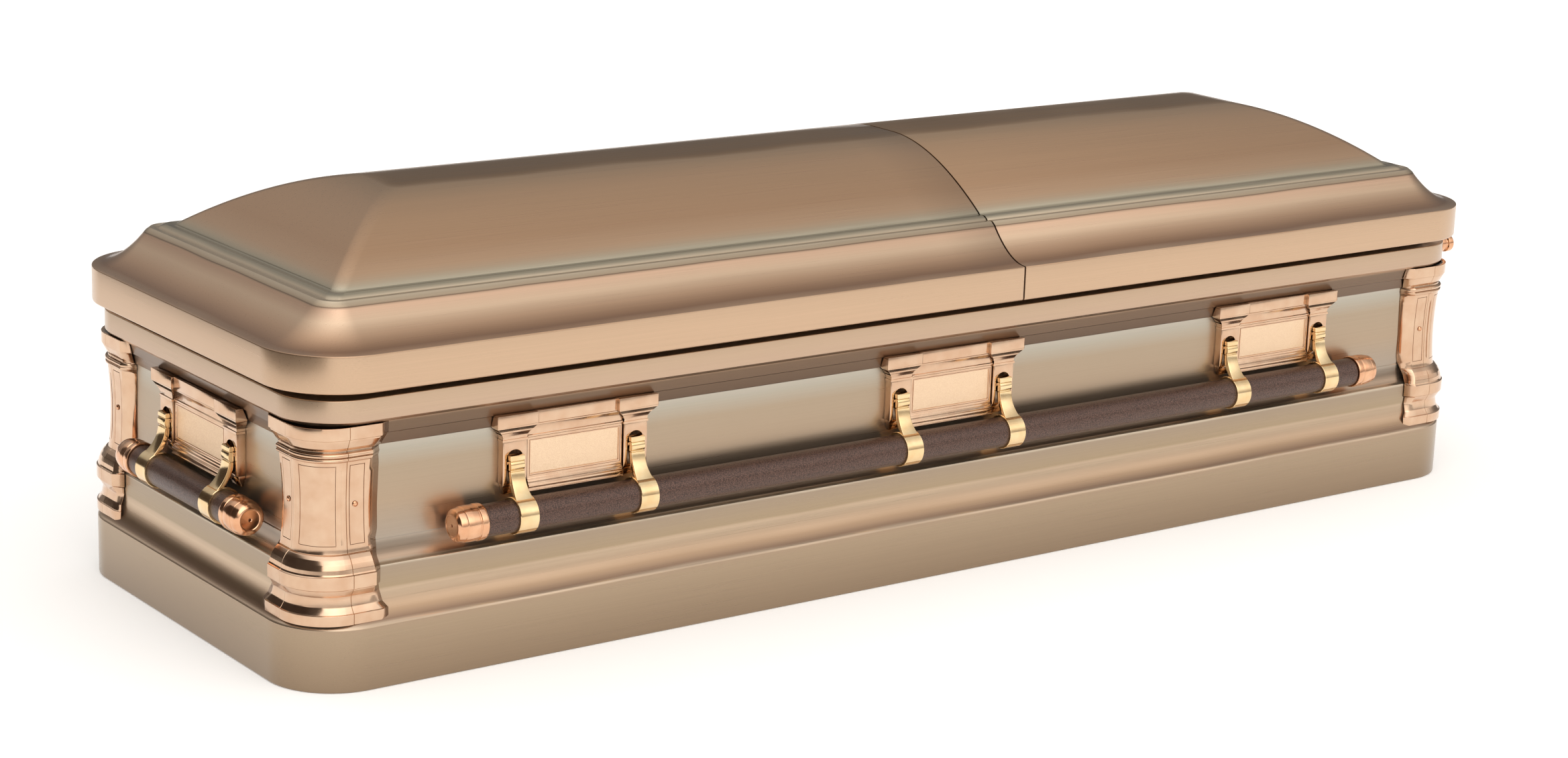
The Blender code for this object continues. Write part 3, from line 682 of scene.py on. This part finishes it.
# By height: how far a casting's wings reach along the body, how deep its back lies behind the base
# band's plane, and how far a wing's end slopes away along the body behind its face.
CASTING_REACH = ((0.0895, 0.1145), (0.1040, 0.1145), (0.1120, 0.1080), (0.1345, 0.1050),
                 (0.1360, 0.1075), (0.1550, 0.1075), (0.1700, 0.1055), (0.2350, 0.1050),
                 (0.2985, 0.1080), (0.3040, 0.1105), (0.3115, 0.1100), (0.3290, 0.1195),
                 (0.3292, 0.1210), (0.3452, 0.1210))
CASTING_BACK = ((0.0895, 0.0095), (0.0985, 0.0086), (0.1090, 0.0125), (0.1260, 0.0195),
                (0.1570, 0.0195), (0.1860, 0.0345), (0.1885, 0.0372), (0.3105, 0.0372),
                (0.3125, 0.0335), (0.3280, 0.0270), (0.3452, 0.0232))
CASTING_FLANK = ((0.0895, 0.0120), (0.1700, 0.0130), (0.2000, 0.0200), (0.2900, 0.0200),
                 (0.3200, 0.0160), (0.3452, 0.0130))


def wing_reach(height):
    return stepwise(CASTING_REACH, height) - CASTING_CENTRE


def fall_back(vertex):
    """Moves a vertex on a casting's edge back to the body; on a wing's end it slopes away too."""
    x, y, z = vertex.co
    reach, slope = wing_reach(z), stepwise(CASTING_FLANK, z)
    depth = CASTING_CENTRE - stepwise(CASTING_BACK, z)
    if y < -MERGE:
        vertex.co.xy = depth, y - slope * (abs(y + reach) < MERGE)
    elif x < -MERGE:
        vertex.co.xy = x - slope * (abs(x + reach) < MERGE), depth
    else:
        vertex.co.xy = vertex.co.xy.normalized() * depth


# The incised frames: heights of their outer edges, how far they lie from the end of the corner's arc
# on the arc and on a wing, and where the cuts lie that shape one line.
FRAME_HEIGHTS = 0.1895, 0.2945
ARC_FRAME, WING_FRAME = 0.0125, (0.0052, 0.0268)
CUTS = 0.0, 0.0003, 0.0008, 0.0011
CREASE = 0.0009, 0.0014, 0.0019  # the upright line beside the arc: its edges and its middle
FINE_LINE = 0.0052  # from the arc's end to a shorter upright line on the arc


def in_line(*margins):
    """Whether a point that far inside each edge of a frame lies in the bottom of its line."""
    return CUTS[1] - MERGE < min(margins) < CUTS[2] + MERGE


def casting_wing(form, edges, along):
    """Runs the casting's face on from one end of its arc to the wing's end."""
    low, high = WING_FRAME
    lines = CREASE + tuple(low + c for c in CUTS) + tuple(high - c for c in reversed(CUTS)) + (None,)
    for distance in lines:
        vertices, edges = extruded(form, edges)
        for vertex in vertices:
            vertex.co[along] = -(wing_reach(vertex.co.z) if distance is None else distance)


def casting_mesh(sizes):
    """A corner casting about the centre of its corner, its arc towards +X and +Y."""
    form = bmesh.new()
    profile = casting_profile(sizes.fillet_steps)
    line, edges = line_of(form, [(CASTING_CENTRE - inset, 0.0, z) for inset, z in profile])
    turned = bmesh.ops.spin(form, geom=line + edges, cent=(0, 0, 0), axis=(0, 0, 1),
                            angle=math.pi / 2, steps=24)
    casting_wing(form, edges, 1)
    casting_wing(form, edges_of(turned, "geom_last"), 0)
    bmesh.ops.remove_doubles(form, verts=form.verts[:], dist=MERGE)
    waist = CASTING_CENTRE - 0.0270
    arc = waist * math.pi / 2
    for start in (ARC_FRAME, FINE_LINE):
        for cut in CUTS:
            for angle in ((start + cut) / waist, (arc - start - cut) / waist):
                bmesh.ops.bisect_plane(form, geom=everything(form), plane_co=(0, 0, 0),
                                       plane_no=(-math.sin(angle), math.cos(angle), 0))
    face_outward(form)
    low, high = FRAME_HEIGHTS
    for vertex in form.verts:
        x, y, z = vertex.co
        if x > -MERGE and y > -MERGE:
            outward = Vector((x, y, 0)).normalized()
            along = math.atan2(y, x) * waist
            fine = min(abs(along - FINE_LINE - CUTS[1]), abs(arc - along - FINE_LINE - CUTS[1]))
            sunk = (in_line(z - low, high - z, along - ARC_FRAME, arc - ARC_FRAME - along)
                    or fine < CUTS[2] - CUTS[1] and low + 0.006 < z < high - 0.006)
        else:
            outward = Vector((1, 0, 0)) if y < 0 else Vector((0, 1, 0))
            along = -min(x, y)
            sunk = (in_line(z - low, high - z, along - WING_FRAME[0], WING_FRAME[1] - along)
                    or abs(along - CREASE[1]) < MERGE)
        if sunk:
            vertex.co -= outward * sizes.groove
    for vertex in extruded(form, [e for e in form.edges if e.is_boundary])[0]:
        fall_back(vertex)
    return mesh_of("corner_column", form)


def make_castings(context):
    sizes = context.scene.casket_sizes
    mesh = casting_mesh(sizes)
    for corner, (sx, sy, turn) in CORNERS.items():
        centre = (sx * (HALF_LENGTH - CASTING_CENTRE), sy * (HALF_WIDTH - CASTING_CENTRE), 0)
        spot = Matrix.Translation(centre) @ Matrix.Rotation(math.radians(turn), 4, "Z")
        piece = add_piece(f"corner_column_{corner}", placed_copy(mesh, spot), "shell",
                          "rose_gold_casting", [rose_gold()], f"corner_casting_{corner}")
        add_modifier(piece, "Casting wall", "SOLIDIFY", thickness=CASTING_WALL, offset=-1.0)


def make_screws(context):
    """Low domed screws, each in a raised washer ring, on the wings of the castings."""
    for corner in CORNERS:
        for letter in "ab":
            node = f"casting_screw_{corner}_{letter}"
            low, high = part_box(node)
            flat = min(range(3), key=lambda axis: high[axis] - low[axis])
            outward = Vector((0, 0, 0))
            outward[flat] = math.copysign(1, (low + high)[flat])
            seat = (low + high) / 2
            seat[flat] = low[flat] if outward[flat] > 0 else high[flat]
            dome = [(0.0, 0.0), (0.0, 0.0038), (0.0006, 0.0037), (0.0011, 0.0031), (0.0005, 0.0028),
                    (0.0012, 0.0022), (0.0016, 0.0012), (0.0017, 0.0)]
            form = turned_form(dome, 24)
            spot = Matrix.Translation(seat) @ outward.to_track_quat("X", "Z").to_matrix().to_4x4()
            bmesh.ops.transform(form, matrix=spot, verts=form.verts[:])
            add_piece(f"domed_screw_{corner}_{letter}", mesh_of("domed_screw", form), "shell",
                      "rose_gold_casting", [copper()], node)


# ---- lug plates ------------------------------------------------------------------------------
def ear_front_form():
    """The ear below its cap, with the arched slot that the arm hangs in; x is from the arm's middle."""
    half, foot, top, depth = 0.0183, 0.2345, 0.2925, 0.0130
    slot_half, spring = 0.0125, 0.268
    outline = [(slot_half, foot), (half, foot), (half, top), (-half, top), (-half, foot),
               (-slot_half, foot)]
    arch = [(-slot_half * math.cos(a), spring + slot_half * math.sin(a))
            for a in (math.pi * s / 12 for s in range(13))]
    form = prism_form([(x, 0.0, z) for x, z in outline + arch], (0, -depth, 0))
    soften_edges(form, 0.0005, angle=50)
    return form


def cap_level(z, side, depth):
    """One level of an ear's cap: it stands as far to each side as it does forwards."""
    return z, side, -depth, -min(0.0101, max(0.0004, 0.0034 + 0.39 * (z - 0.3118)))


def ear_cap_form():
    """The moulded cap of an ear: an astragal, a canted throat, and a plain fascia."""
    form = stacked_form([
        cap_level(0.2915, 0.0183, 0.0130), cap_level(0.2918, 0.0194, 0.0142),
        cap_level(0.2948, 0.0194, 0.0142), cap_level(0.2951, 0.0185, 0.0132),
        cap_level(0.2985, 0.0185, 0.0132), cap_level(0.3035, 0.0218, 0.0150),
        cap_level(0.3095, 0.0279, 0.0184), cap_level(0.3112, 0.0292, 0.0194),
        cap_level(0.3116, 0.0300, 0.0199), cap_level(0.3135, 0.0308, 0.0205),
        cap_level(0.3290, 0.0308, 0.0205)])
    soften_edges(form, 0.0004, angle=20)
    return form


def ear_foot_form():
    """The stepped foot under the ear's two legs, which closes the slot."""
    form = stacked_form([(height, side, -depth, -0.0003) for height, side, depth in (
        (0.2190, 0.0122, 0.0044), (0.2236, 0.0126, 0.0054), (0.2239, 0.0140, 0.0070),
        (0.2288, 0.0146, 0.0080), (0.2291, 0.0160, 0.0094), (0.2347, 0.0168, 0.0104))])
    soften_edges(form, 0.0003, angle=25)
    return form


def middle_form():
    """The plate between the ears: stepped sill, framed insert, hollow throat and frieze."""
    outline = [(0.0004, 0.2206), (0.0160, 0.2206), (0.0160, 0.2226), (0.0150, 0.2232), (0.0150, 0.2262),
               (0.0157, 0.2270), (0.0157, 0.2296), (0.0135, 0.2312), (0.0132, 0.2338), (0.0118, 0.2350),
               (0.0118, 0.2374), (0.0107, 0.2384), (0.0107, 0.2930), (0.0122, 0.2938), (0.0122, 0.2962),
               (0.0108, 0.2970), (0.0112, 0.3020), (0.0128, 0.3070), (0.0150, 0.3104), (0.0150, 0.3118),
               (0.0165, 0.3130), (0.0165, 0.3289), (0.0101, 0.3289), (0.0034, 0.3118), (0.0004, 0.3108)]
    half = 0.0735
    form = prism_form([(-half, -depth, z) for depth, z in outline], (2 * half, 0, 0))
    soften_edges(form, 0.0003, angle=25)
    field = [f for f in form.faces if f.normal.y < -0.999 and f.calc_area() > 0.004]
    for thickness, depth in ((0.0034, 0.0), (0.0004, -0.0007), (0.0010, 0.0), (0.0004, 0.0007),
                             (0.0016, 0.0), (0.0006, -0.0012)):
        bmesh.ops.inset_region(form, faces=field, thickness=thickness, depth=depth, use_boundary=True)
    for insert in field:
        insert.material_index = 1
    return form


def plate_mesh(arm_offset):
    """A whole lug plate with its back on the side panel and its face towards -Y."""
    forms = [middle_form()]
    for side in (-1, 1):
        for form in (ear_front_form(), ear_cap_form(), ear_foot_form()):
            bmesh.ops.translate(form, verts=form.verts[:], vec=(side * arm_offset, 0, 0))
            forms.append(form)
        forms.append(pin_form(side * arm_offset))
    return joined("lug_plate", forms)


def pin_form(x):
    """The pin an arm turns on, across its slot."""
    half, radius = 0.0124, 0.0028
    form = turned_form([(-half, 0.0), (-half, radius), (half, radius), (half, 0.0)], 20)
    bmesh.ops.translate(form, verts=form.verts[:], vec=(x, -PIN_DEPTH, PIN_HEIGHT))
    return form


def side_matrix(side):
    """From a side's own frame, x along it and y into the casket from its panel, to the casket's."""
    outwards = (HALF_WIDTH if side in ("front", "back") else HALF_LENGTH) - PANEL_INSET
    return Matrix.Rotation(math.radians(SIDES[side]), 4, "Z") @ Matrix.Translation((0, -outwards, 0))


def along_side(side, node):
    """Where the middle of a CAD node lies along its side."""
    low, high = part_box(node)
    return (side_matrix(side).inverted() @ ((low + high) / 2)).x


def on_side(side, x, depth=0.0, height=0.0):
    """From a piece's own frame to its place on a side: x along it, depth out from its panel."""
    return side_matrix(side) @ Matrix.Translation((x, -depth, height))


def half_span(node):
    """Half of a CAD node's longer level side."""
    low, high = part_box(node)
    return max((high - low).xy) / 2


def side_nodes(side, start):
    """The names of a side's CAD nodes of one kind, in order."""
    return sorted(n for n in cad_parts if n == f"{start}_{side}" or n.startswith(f"{start}_{side}_"))


def make_plates(context):
    mesh = plate_mesh(ARM_OFFSET)
    for side in SIDES:
        for node in side_nodes(side, "lug_plate"):
            spot = on_side(side, along_side(side, node))
            add_piece(node.replace("lug_plate", "moulded_lug_plate"), placed_copy(mesh, spot), "shell",
                      "rose_gold_casting", [rose_gold(), stippled_rose_gold()], node)


# ---- swing handles ---------------------------------------------------------------------------
def arm_shank_form(half):
    """The arm above its ring: a neck that flares to the ring's half width, a barrel and a cap, with
    a sunk line between each two."""
    neck = bend((-0.0355, -0.0500), (-0.0118, -0.0330), (-0.0094, -0.0104), 40)
    flare = bend((half, -0.0500), (0.0094, -0.0400), (0.0108, -0.0104), 40)
    levels = [(z, wide, y, min(y + 0.0085, 0.0058)) for (y, z), (wide, _) in zip(neck, flare)]
    levels += [(-0.0100, 0.0098, -0.0080, 0.0058), (-0.0092, 0.0098, -0.0080, 0.0058)]
    levels += [(-0.0026 + 0.0066 * math.sin(turn), 0.0107, -0.0060 - 0.0042 * math.cos(turn), 0.0058)
               for turn in (math.radians(-66 + 132 * k / 10) for k in range(11))]
    levels += [(0.0040, 0.0098, -0.0076, 0.0056), (0.0045, 0.0098, -0.0076, 0.0056),
               (0.0048, 0.0112, -0.0092, 0.0054), (0.0094, 0.0112, -0.0088, 0.0040),
               (0.0106, 0.0108, -0.0078, 0.0028), (0.0110, 0.0098, -0.0062, 0.0012)]
    return stacked_form(levels, ease=0.0008)


def ring_form(half, hole, thickness):
    """The band that wraps the bar, its edges rounded."""
    ease, outer = 0.0007, hole + thickness
    form = bmesh.new()
    section = [(-half, hole), (-half, outer - ease), (-half + ease, outer), (half - ease, outer),
               (half, outer - ease), (half, hole)]
    line, edges = line_of(form, [(x, radius, 0.0) for x, radius in section])
    edges.append(form.edges.new((line[-1], line[0])))
    bmesh.ops.spin(form, geom=line + edges, cent=(0, 0, 0), axis=(1, 0, 0), use_merge=True,
                   angle=2 * math.pi, steps=56)
    face_outward(form)
    bmesh.ops.translate(form, verts=form.verts[:],
                        vec=(0, PIN_DEPTH - BAR_DEPTH, BAR_HEIGHT - PIN_HEIGHT))
    return form


def make_arms(context):
    """Handle arms, each made about its pin, which lies along X."""
    half = context.scene.casket_sizes.ring_width / 2
    mesh = joined("handle_arm", [arm_shank_form(half), ring_form(half, BAR_RADIUS + 0.0002, 0.0030)], 38)
    for side in SIDES:
        for node in side_nodes(side, "handle_arm"):
            spot = on_side(side, along_side(side, node), PIN_DEPTH, PIN_HEIGHT)
            add_piece(node.replace("handle_arm", "gilt_arm"), placed_copy(mesh, spot), f"{side}_handle",
                      "yellow_gold_arm", [yellow_gold()], node)


def make_bars(context):
    """The grained grips, eased at their ends where the ferrules take over."""
    steps = context.scene.casket_sizes.turned_steps
    for side in SIDES:
        node = f"handle_bar_{side}"
        half, ease = half_span(node), 0.0016
        profile = [(-half, 0.0), (-half, BAR_RADIUS - ease), (-half + ease, BAR_RADIUS),
                   (half - ease, BAR_RADIUS), (half, BAR_RADIUS - ease), (half, 0.0)]
        form = turned_form(profile, steps)
        bmesh.ops.transform(form, matrix=on_side(side, 0, BAR_DEPTH, BAR_HEIGHT), verts=form.verts[:])
        add_piece(f"grained_grip_{side}", mesh_of("grained_grip", form), f"{side}_handle",
                  "dark_grained_bar", [pebbled_coating()], node)


def ferrule_mesh(steps):
    """A bar's turned end: collar, groove, swelling body, rounded shoulder and a drilled end."""
    length, radius = 0.0435, 0.0245
    corners = [(0.0003, 0.0200, 0), (0.0003, radius - 0.0006, 0.0006), (0.0030, radius, 0.0010),
               (0.0098, radius, 0.0010), (0.0106, radius - 0.0014, 0.0004),
               (0.0122, radius - 0.0014, 0.0004), (0.0130, radius - 0.0003, 0.0008),
               (0.0215, radius - 0.0002, 0.0100), (0.0300, radius - 0.0008, 0.0020),
               (0.0308, radius - 0.0018, 0.0004), (0.0320, radius - 0.0016, 0.0006),
               (0.0400, radius - 0.0030, 0.0040),
               (length - 0.0006, radius - 0.0078, 0.0020), (length, radius - 0.0100, 0.0008),
               (length - 0.0008, radius - 0.0112, 0.0006), (length - 0.0004, 0.0030, 0.0004),
               (length - 0.0008, 0.0018, 0.0004), (length - 0.0060, 0.0016, 0.0002),
               (length - 0.0062, 0.0, 0)]
    return mesh_of("bar_ferrule", turned_form(filleted(corners, 3), steps))


def make_ferrules(context):
    mesh = ferrule_mesh(context.scene.casket_sizes.turned_steps)
    for side in SIDES:
        for node in side_nodes(side, "bar_tip"):
            turn = Matrix.Rotation(0.0 if along_side(side, node) > 0 else math.pi, 4, "Z")
            spot = on_side(side, 0, BAR_DEPTH, BAR_HEIGHT) @ turn
            spot = spot @ Matrix.Translation((half_span(f"handle_bar_{side}"), 0, 0))
            add_piece(node.replace("bar_tip", "copper_ferrule"), placed_copy(mesh, spot),
                      f"{side}_handle", "copper_tip", [copper()], node)


def make_port(context):
    """The lid lock's plug: flange on the rim, narrow neck and rounded copper head."""
    low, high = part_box("lock_port")
    middle = (low + high) / 2
    corners = [(0.0, 0.0, 0), (0.0, 0.0135, 0.0004), (0.0070, 0.0135, 0.0012), (0.0085, 0.0112, 0.0016),
               (0.0135, 0.0112, 0.0010), (0.0150, 0.0142, 0.0014), (0.0240, 0.0142, 0.0012),
               (0.0277, 0.0100, 0.0024), (0.0277, 0.0, 0)]
    form = turned_form(filleted(corners, 4), 40)
    bmesh.ops.translate(form, verts=form.verts[:], vec=(low.x, middle.y, middle.z))
    add_piece("lock_plug", mesh_of("lock_plug", form), "shell", "copper_tip", [copper()], "lock_port")


# ---- studio ----------------------------------------------------------------------------------
def make_floor(context):
    form = bmesh.new()
    bmesh.ops.create_grid(form, x_segments=1, y_segments=1, size=30.0)
    floor = bpy.data.objects.new("studio_floor", mesh_of("studio_floor", form))
    context.scene.collection.objects.link(floor)
    material, _, _ = new_material("pale_paper_floor", Base_Color=linear("#f4f2ef"), Roughness=0.7,
                                  Emission_Color=(1.0, 0.99, 0.975, 1.0), Emission_Strength=0.22)
    floor.data.materials.append(material)


def make_world(context):
    """A dim room that brightens upwards, with a long softbox in front of the casket and above it:
    mouldings run from light to dark as they turn away from it."""
    world = bpy.data.worlds.new("studio_room")
    context.scene.world = world
    world.use_nodes = True
    tree = world.node_tree
    coordinates = add_node(tree, "ShaderNodeTexCoord")
    way = add_node(tree, "ShaderNodeSeparateXYZ", links={0: coordinates.outputs["Generated"]})
    room = add_node(tree, "ShaderNodeValToRGB", links={0: way.outputs["Z"]})
    set_ramp(room, [(0.0, (0.15, 0.145, 0.14, 1)), (0.27, (0.20, 0.19, 0.18, 1)),
                    (0.60, (0.47, 0.455, 0.44, 1)), (0.75, (0.60, 0.59, 0.58, 1)),
                    (1.0, (0.9, 0.9, 0.9, 1))])
    forwards = add_node(tree, "ShaderNodeMath", operation="MULTIPLY", links={0: way.outputs["Y"]},
                        inputs={1: -1.0})
    turn = add_node(tree, "ShaderNodeMath", operation="ARCTAN2",
                    links={0: way.outputs["Z"], 1: forwards.outputs[0]})
    share = add_node(tree, "ShaderNodeMath", operation="MULTIPLY", links={0: turn.outputs[0]},
                     inputs={1: 1 / math.pi})  # 0 at the front horizon, 0.5 overhead, 1 at the back
    rig = add_node(tree, "ShaderNodeValToRGB", links={0: share.outputs[0]})
    set_ramp(rig, [(angle / 180, (value, value, value, 1)) for angle, value in (
        (0, 0.40), (10, 0.62), (22, 0.90), (42, 0.54), (58, 0.31), (67, 0.26), (74, 0.205), (82, 0.185),
        (94, 0.185), (108, 0.168), (180, 0.168))])
    level = add_node(tree, "ShaderNodeVectorMath", operation="MULTIPLY",
                     links={0: room.outputs[0], 1: rig.outputs[0]})
    side = add_node(tree, "ShaderNodeMapRange", links={0: way.outputs["X"]},
                    inputs={1: -0.15, 2: 0.40, 3: 1.45, 4: 1.0})  # lighter towards the head end
    whole = add_node(tree, "ShaderNodeVectorMath", operation="SCALE",
                     links={0: level.outputs[0], 3: side.outputs[0]})
    tree.links.new(whole.outputs[0], tree.nodes["Background"].inputs["Color"])
    tree.nodes["Background"].inputs["Strength"].default_value = 6.0


def make_softbox(context):
    """An overhead softbox that lights the matt pieces and the floor; the room's own gives the metal
    its highlights."""
    light = bpy.data.lights.new("overhead_softbox", "AREA")
    light.shape = "RECTANGLE"
    light.size, light.size_y = 5.0, 3.0
    light.energy = context.scene.studio.softbox
    lamp = bpy.data.objects.new("overhead_softbox", light)
    context.scene.collection.objects.link(lamp)
    place, aim = Vector((0.0, 0.4, 4.2)), Vector((0.0, 0.0, 0.4))
    lamp.location = place
    lamp.rotation_euler = (aim - place).to_track_quat("-Z", "Y").to_euler()
    lamp.visible_glossy = False


def make_flag(context):
    """A black flag beside the head end, which keeps the floor's white out of its reflections."""
    form = bmesh.new()
    bmesh.ops.create_grid(form, x_segments=1, y_segments=1, size=0.5)
    spot = Matrix.Translation((-1.75, 0.30, 0.72)) @ Matrix.Rotation(math.pi / 2, 4, "Y")
    bmesh.ops.transform(form, matrix=spot @ Matrix.Diagonal((1.0, 3.0, 1.0, 1.0)), verts=form.verts[:])
    flag = bpy.data.objects.new("black_flag", mesh_of("black_flag", form))
    context.scene.collection.objects.link(flag)
    material, _, _ = new_material("black_flag_cloth", Base_Color=linear("#3a302a"), Roughness=0.9)
    flag.data.materials.append(material)
    flag.visible_camera = flag.visible_diffuse = flag.visible_shadow = False


def make_camera(context):
    camera = bpy.data.objects.new("studio_camera", bpy.data.cameras.new("studio_camera"))
    context.scene.collection.objects.link(camera)
    camera.data.lens = context.scene.studio.lens
    right, down, forward = (Vector(row) for row in CAMERA_AXES)
    turn = Matrix((right, -down, -forward)).transposed().to_4x4()
    camera.matrix_world = Matrix.Translation(CAMERA_PLACE) @ turn
    context.scene.camera = camera
    context.scene.view_settings.view_transform = "Standard"


# ---- operators -------------------------------------------------------------------------------
class CASKET_OT_body(bpy.types.Operator):
    """Builds the pressed-sheet body with its band, mouldings, panels and rim"""

    bl_idname = "casket.body"
    bl_label = "Moulded body"
    bl_options = {"REGISTER", "UNDO"}

    def execute(self, context):
        make_body(context)
        return {"FINISHED"}


class CASKET_OT_lid(bpy.types.Operator):
    """Builds the two lid panels, parted nearer the foot end"""

    bl_idname = "casket.lid"
    bl_label = "Domed lid panels"
    bl_options = {"REGISTER", "UNDO"}

    def execute(self, context):
        make_lid(context, "head_lid", PARTING[0], True)
        make_lid(context, "foot_lid", PARTING[1], False)
        return {"FINISHED"}


class CASKET_OT_castings(bpy.types.Operator):
    """Builds the four cast corner columns"""

    bl_idname = "casket.castings"
    bl_label = "Corner castings"
    bl_options = {"REGISTER", "UNDO"}

    def execute(self, context):
        make_castings(context)
        return {"FINISHED"}


class CASKET_OT_screws(bpy.types.Operator):
    """Builds the domed screws that fix the castings"""

    bl_idname = "casket.screws"
    bl_label = "Casting screws"
    bl_options = {"REGISTER", "UNDO"}

    def execute(self, context):
        make_screws(context)
        return {"FINISHED"}


class CASKET_OT_plates(bpy.types.Operator):
    """Builds the moulded plates that carry the handles"""

    bl_idname = "casket.plates"
    bl_label = "Lug plates"
    bl_options = {"REGISTER", "UNDO"}

    def execute(self, context):
        make_plates(context)
        return {"FINISHED"}


class CASKET_OT_arms(bpy.types.Operator):
    """Builds the gilt arms that swing on the lug plates"""

    bl_idname = "casket.arms"
    bl_label = "Handle arms"
    bl_options = {"REGISTER", "UNDO"}

    def execute(self, context):
        make_arms(context)
        return {"FINISHED"}


class CASKET_OT_bars(bpy.types.Operator):
    """Builds the dark grained grips of the four handles"""

    bl_idname = "casket.bars"
    bl_label = "Grained grips"
    bl_options = {"REGISTER", "UNDO"}

    def execute(self, context):
        make_bars(context)
        return {"FINISHED"}


class CASKET_OT_ferrules(bpy.types.Operator):
    """Builds the copper ferrules on the ends of the bars"""

    bl_idname = "casket.ferrules"
    bl_label = "Bar ferrules"
    bl_options = {"REGISTER", "UNDO"}

    def execute(self, context):
        make_ferrules(context)
        return {"FINISHED"}


class CASKET_OT_port(bpy.types.Operator):
    """Builds the plug over the lid lock"""

    bl_idname = "casket.port"
    bl_label = "Lock plug"
    bl_options = {"REGISTER", "UNDO"}

    def execute(self, context):
        make_port(context)
        return {"FINISHED"}


class CASKET_OT_stage(bpy.types.Operator):
    """Builds the floor, the room, the softbox, the flag and the camera"""

    bl_idname = "casket.stage"
    bl_label = "Studio"
    bl_options = {"REGISTER", "UNDO"}

    def execute(self, context):
        make_floor(context)
        make_world(context)
        make_softbox(context)
        make_flag(context)
        make_camera(context)
        return {"FINISHED"}


class CASKET_PT_sidebar(bpy.types.Panel):
    """The settings and makers of the casket"""

    bl_label = "Metal casket"
    bl_idname = "CASKET_PT_sidebar"
    bl_space_type = "VIEW_3D"
    bl_region_type = "UI"
    bl_category = "Casket"

    def draw(self, context):
        for group in (context.scene.casket_sizes, context.scene.studio):
            box = self.layout.box()
            for name in group.bl_rna.properties.keys():
                if name not in {"rna_type", "name"}:
                    box.prop(group, name)
        for operator in OPERATORS:
            self.layout.operator(operator.bl_idname)


GROUPS = (CasketSizes, StudioSettings)
OPERATORS = (CASKET_OT_body, CASKET_OT_lid, CASKET_OT_castings, CASKET_OT_screws, CASKET_OT_plates,
             CASKET_OT_arms, CASKET_OT_bars, CASKET_OT_ferrules, CASKET_OT_port, CASKET_OT_stage)


def register():
    for item in GROUPS + OPERATORS + (CASKET_PT_sidebar,):
        bpy.utils.register_class(item)
    bpy.types.Scene.casket_sizes = PointerProperty(type=CasketSizes)
    bpy.types.Scene.studio = PointerProperty(type=StudioSettings)


def unregister():
    del bpy.types.Scene.studio
    del bpy.types.Scene.casket_sizes
    for item in reversed(GROUPS + OPERATORS + (CASKET_PT_sidebar,)):
        bpy.utils.unregister_class(item)


def main():
    register()
    bpy.ops.casket.body()
    bpy.ops.casket.lid()
    bpy.ops.casket.castings()
    bpy.ops.casket.screws()
    bpy.ops.casket.plates()
    bpy.ops.casket.arms()
    bpy.ops.casket.bars()
    bpy.ops.casket.ferrules()
    bpy.ops.casket.port()
    bpy.ops.casket.stage()


if __name__ == "__main__":
    main()
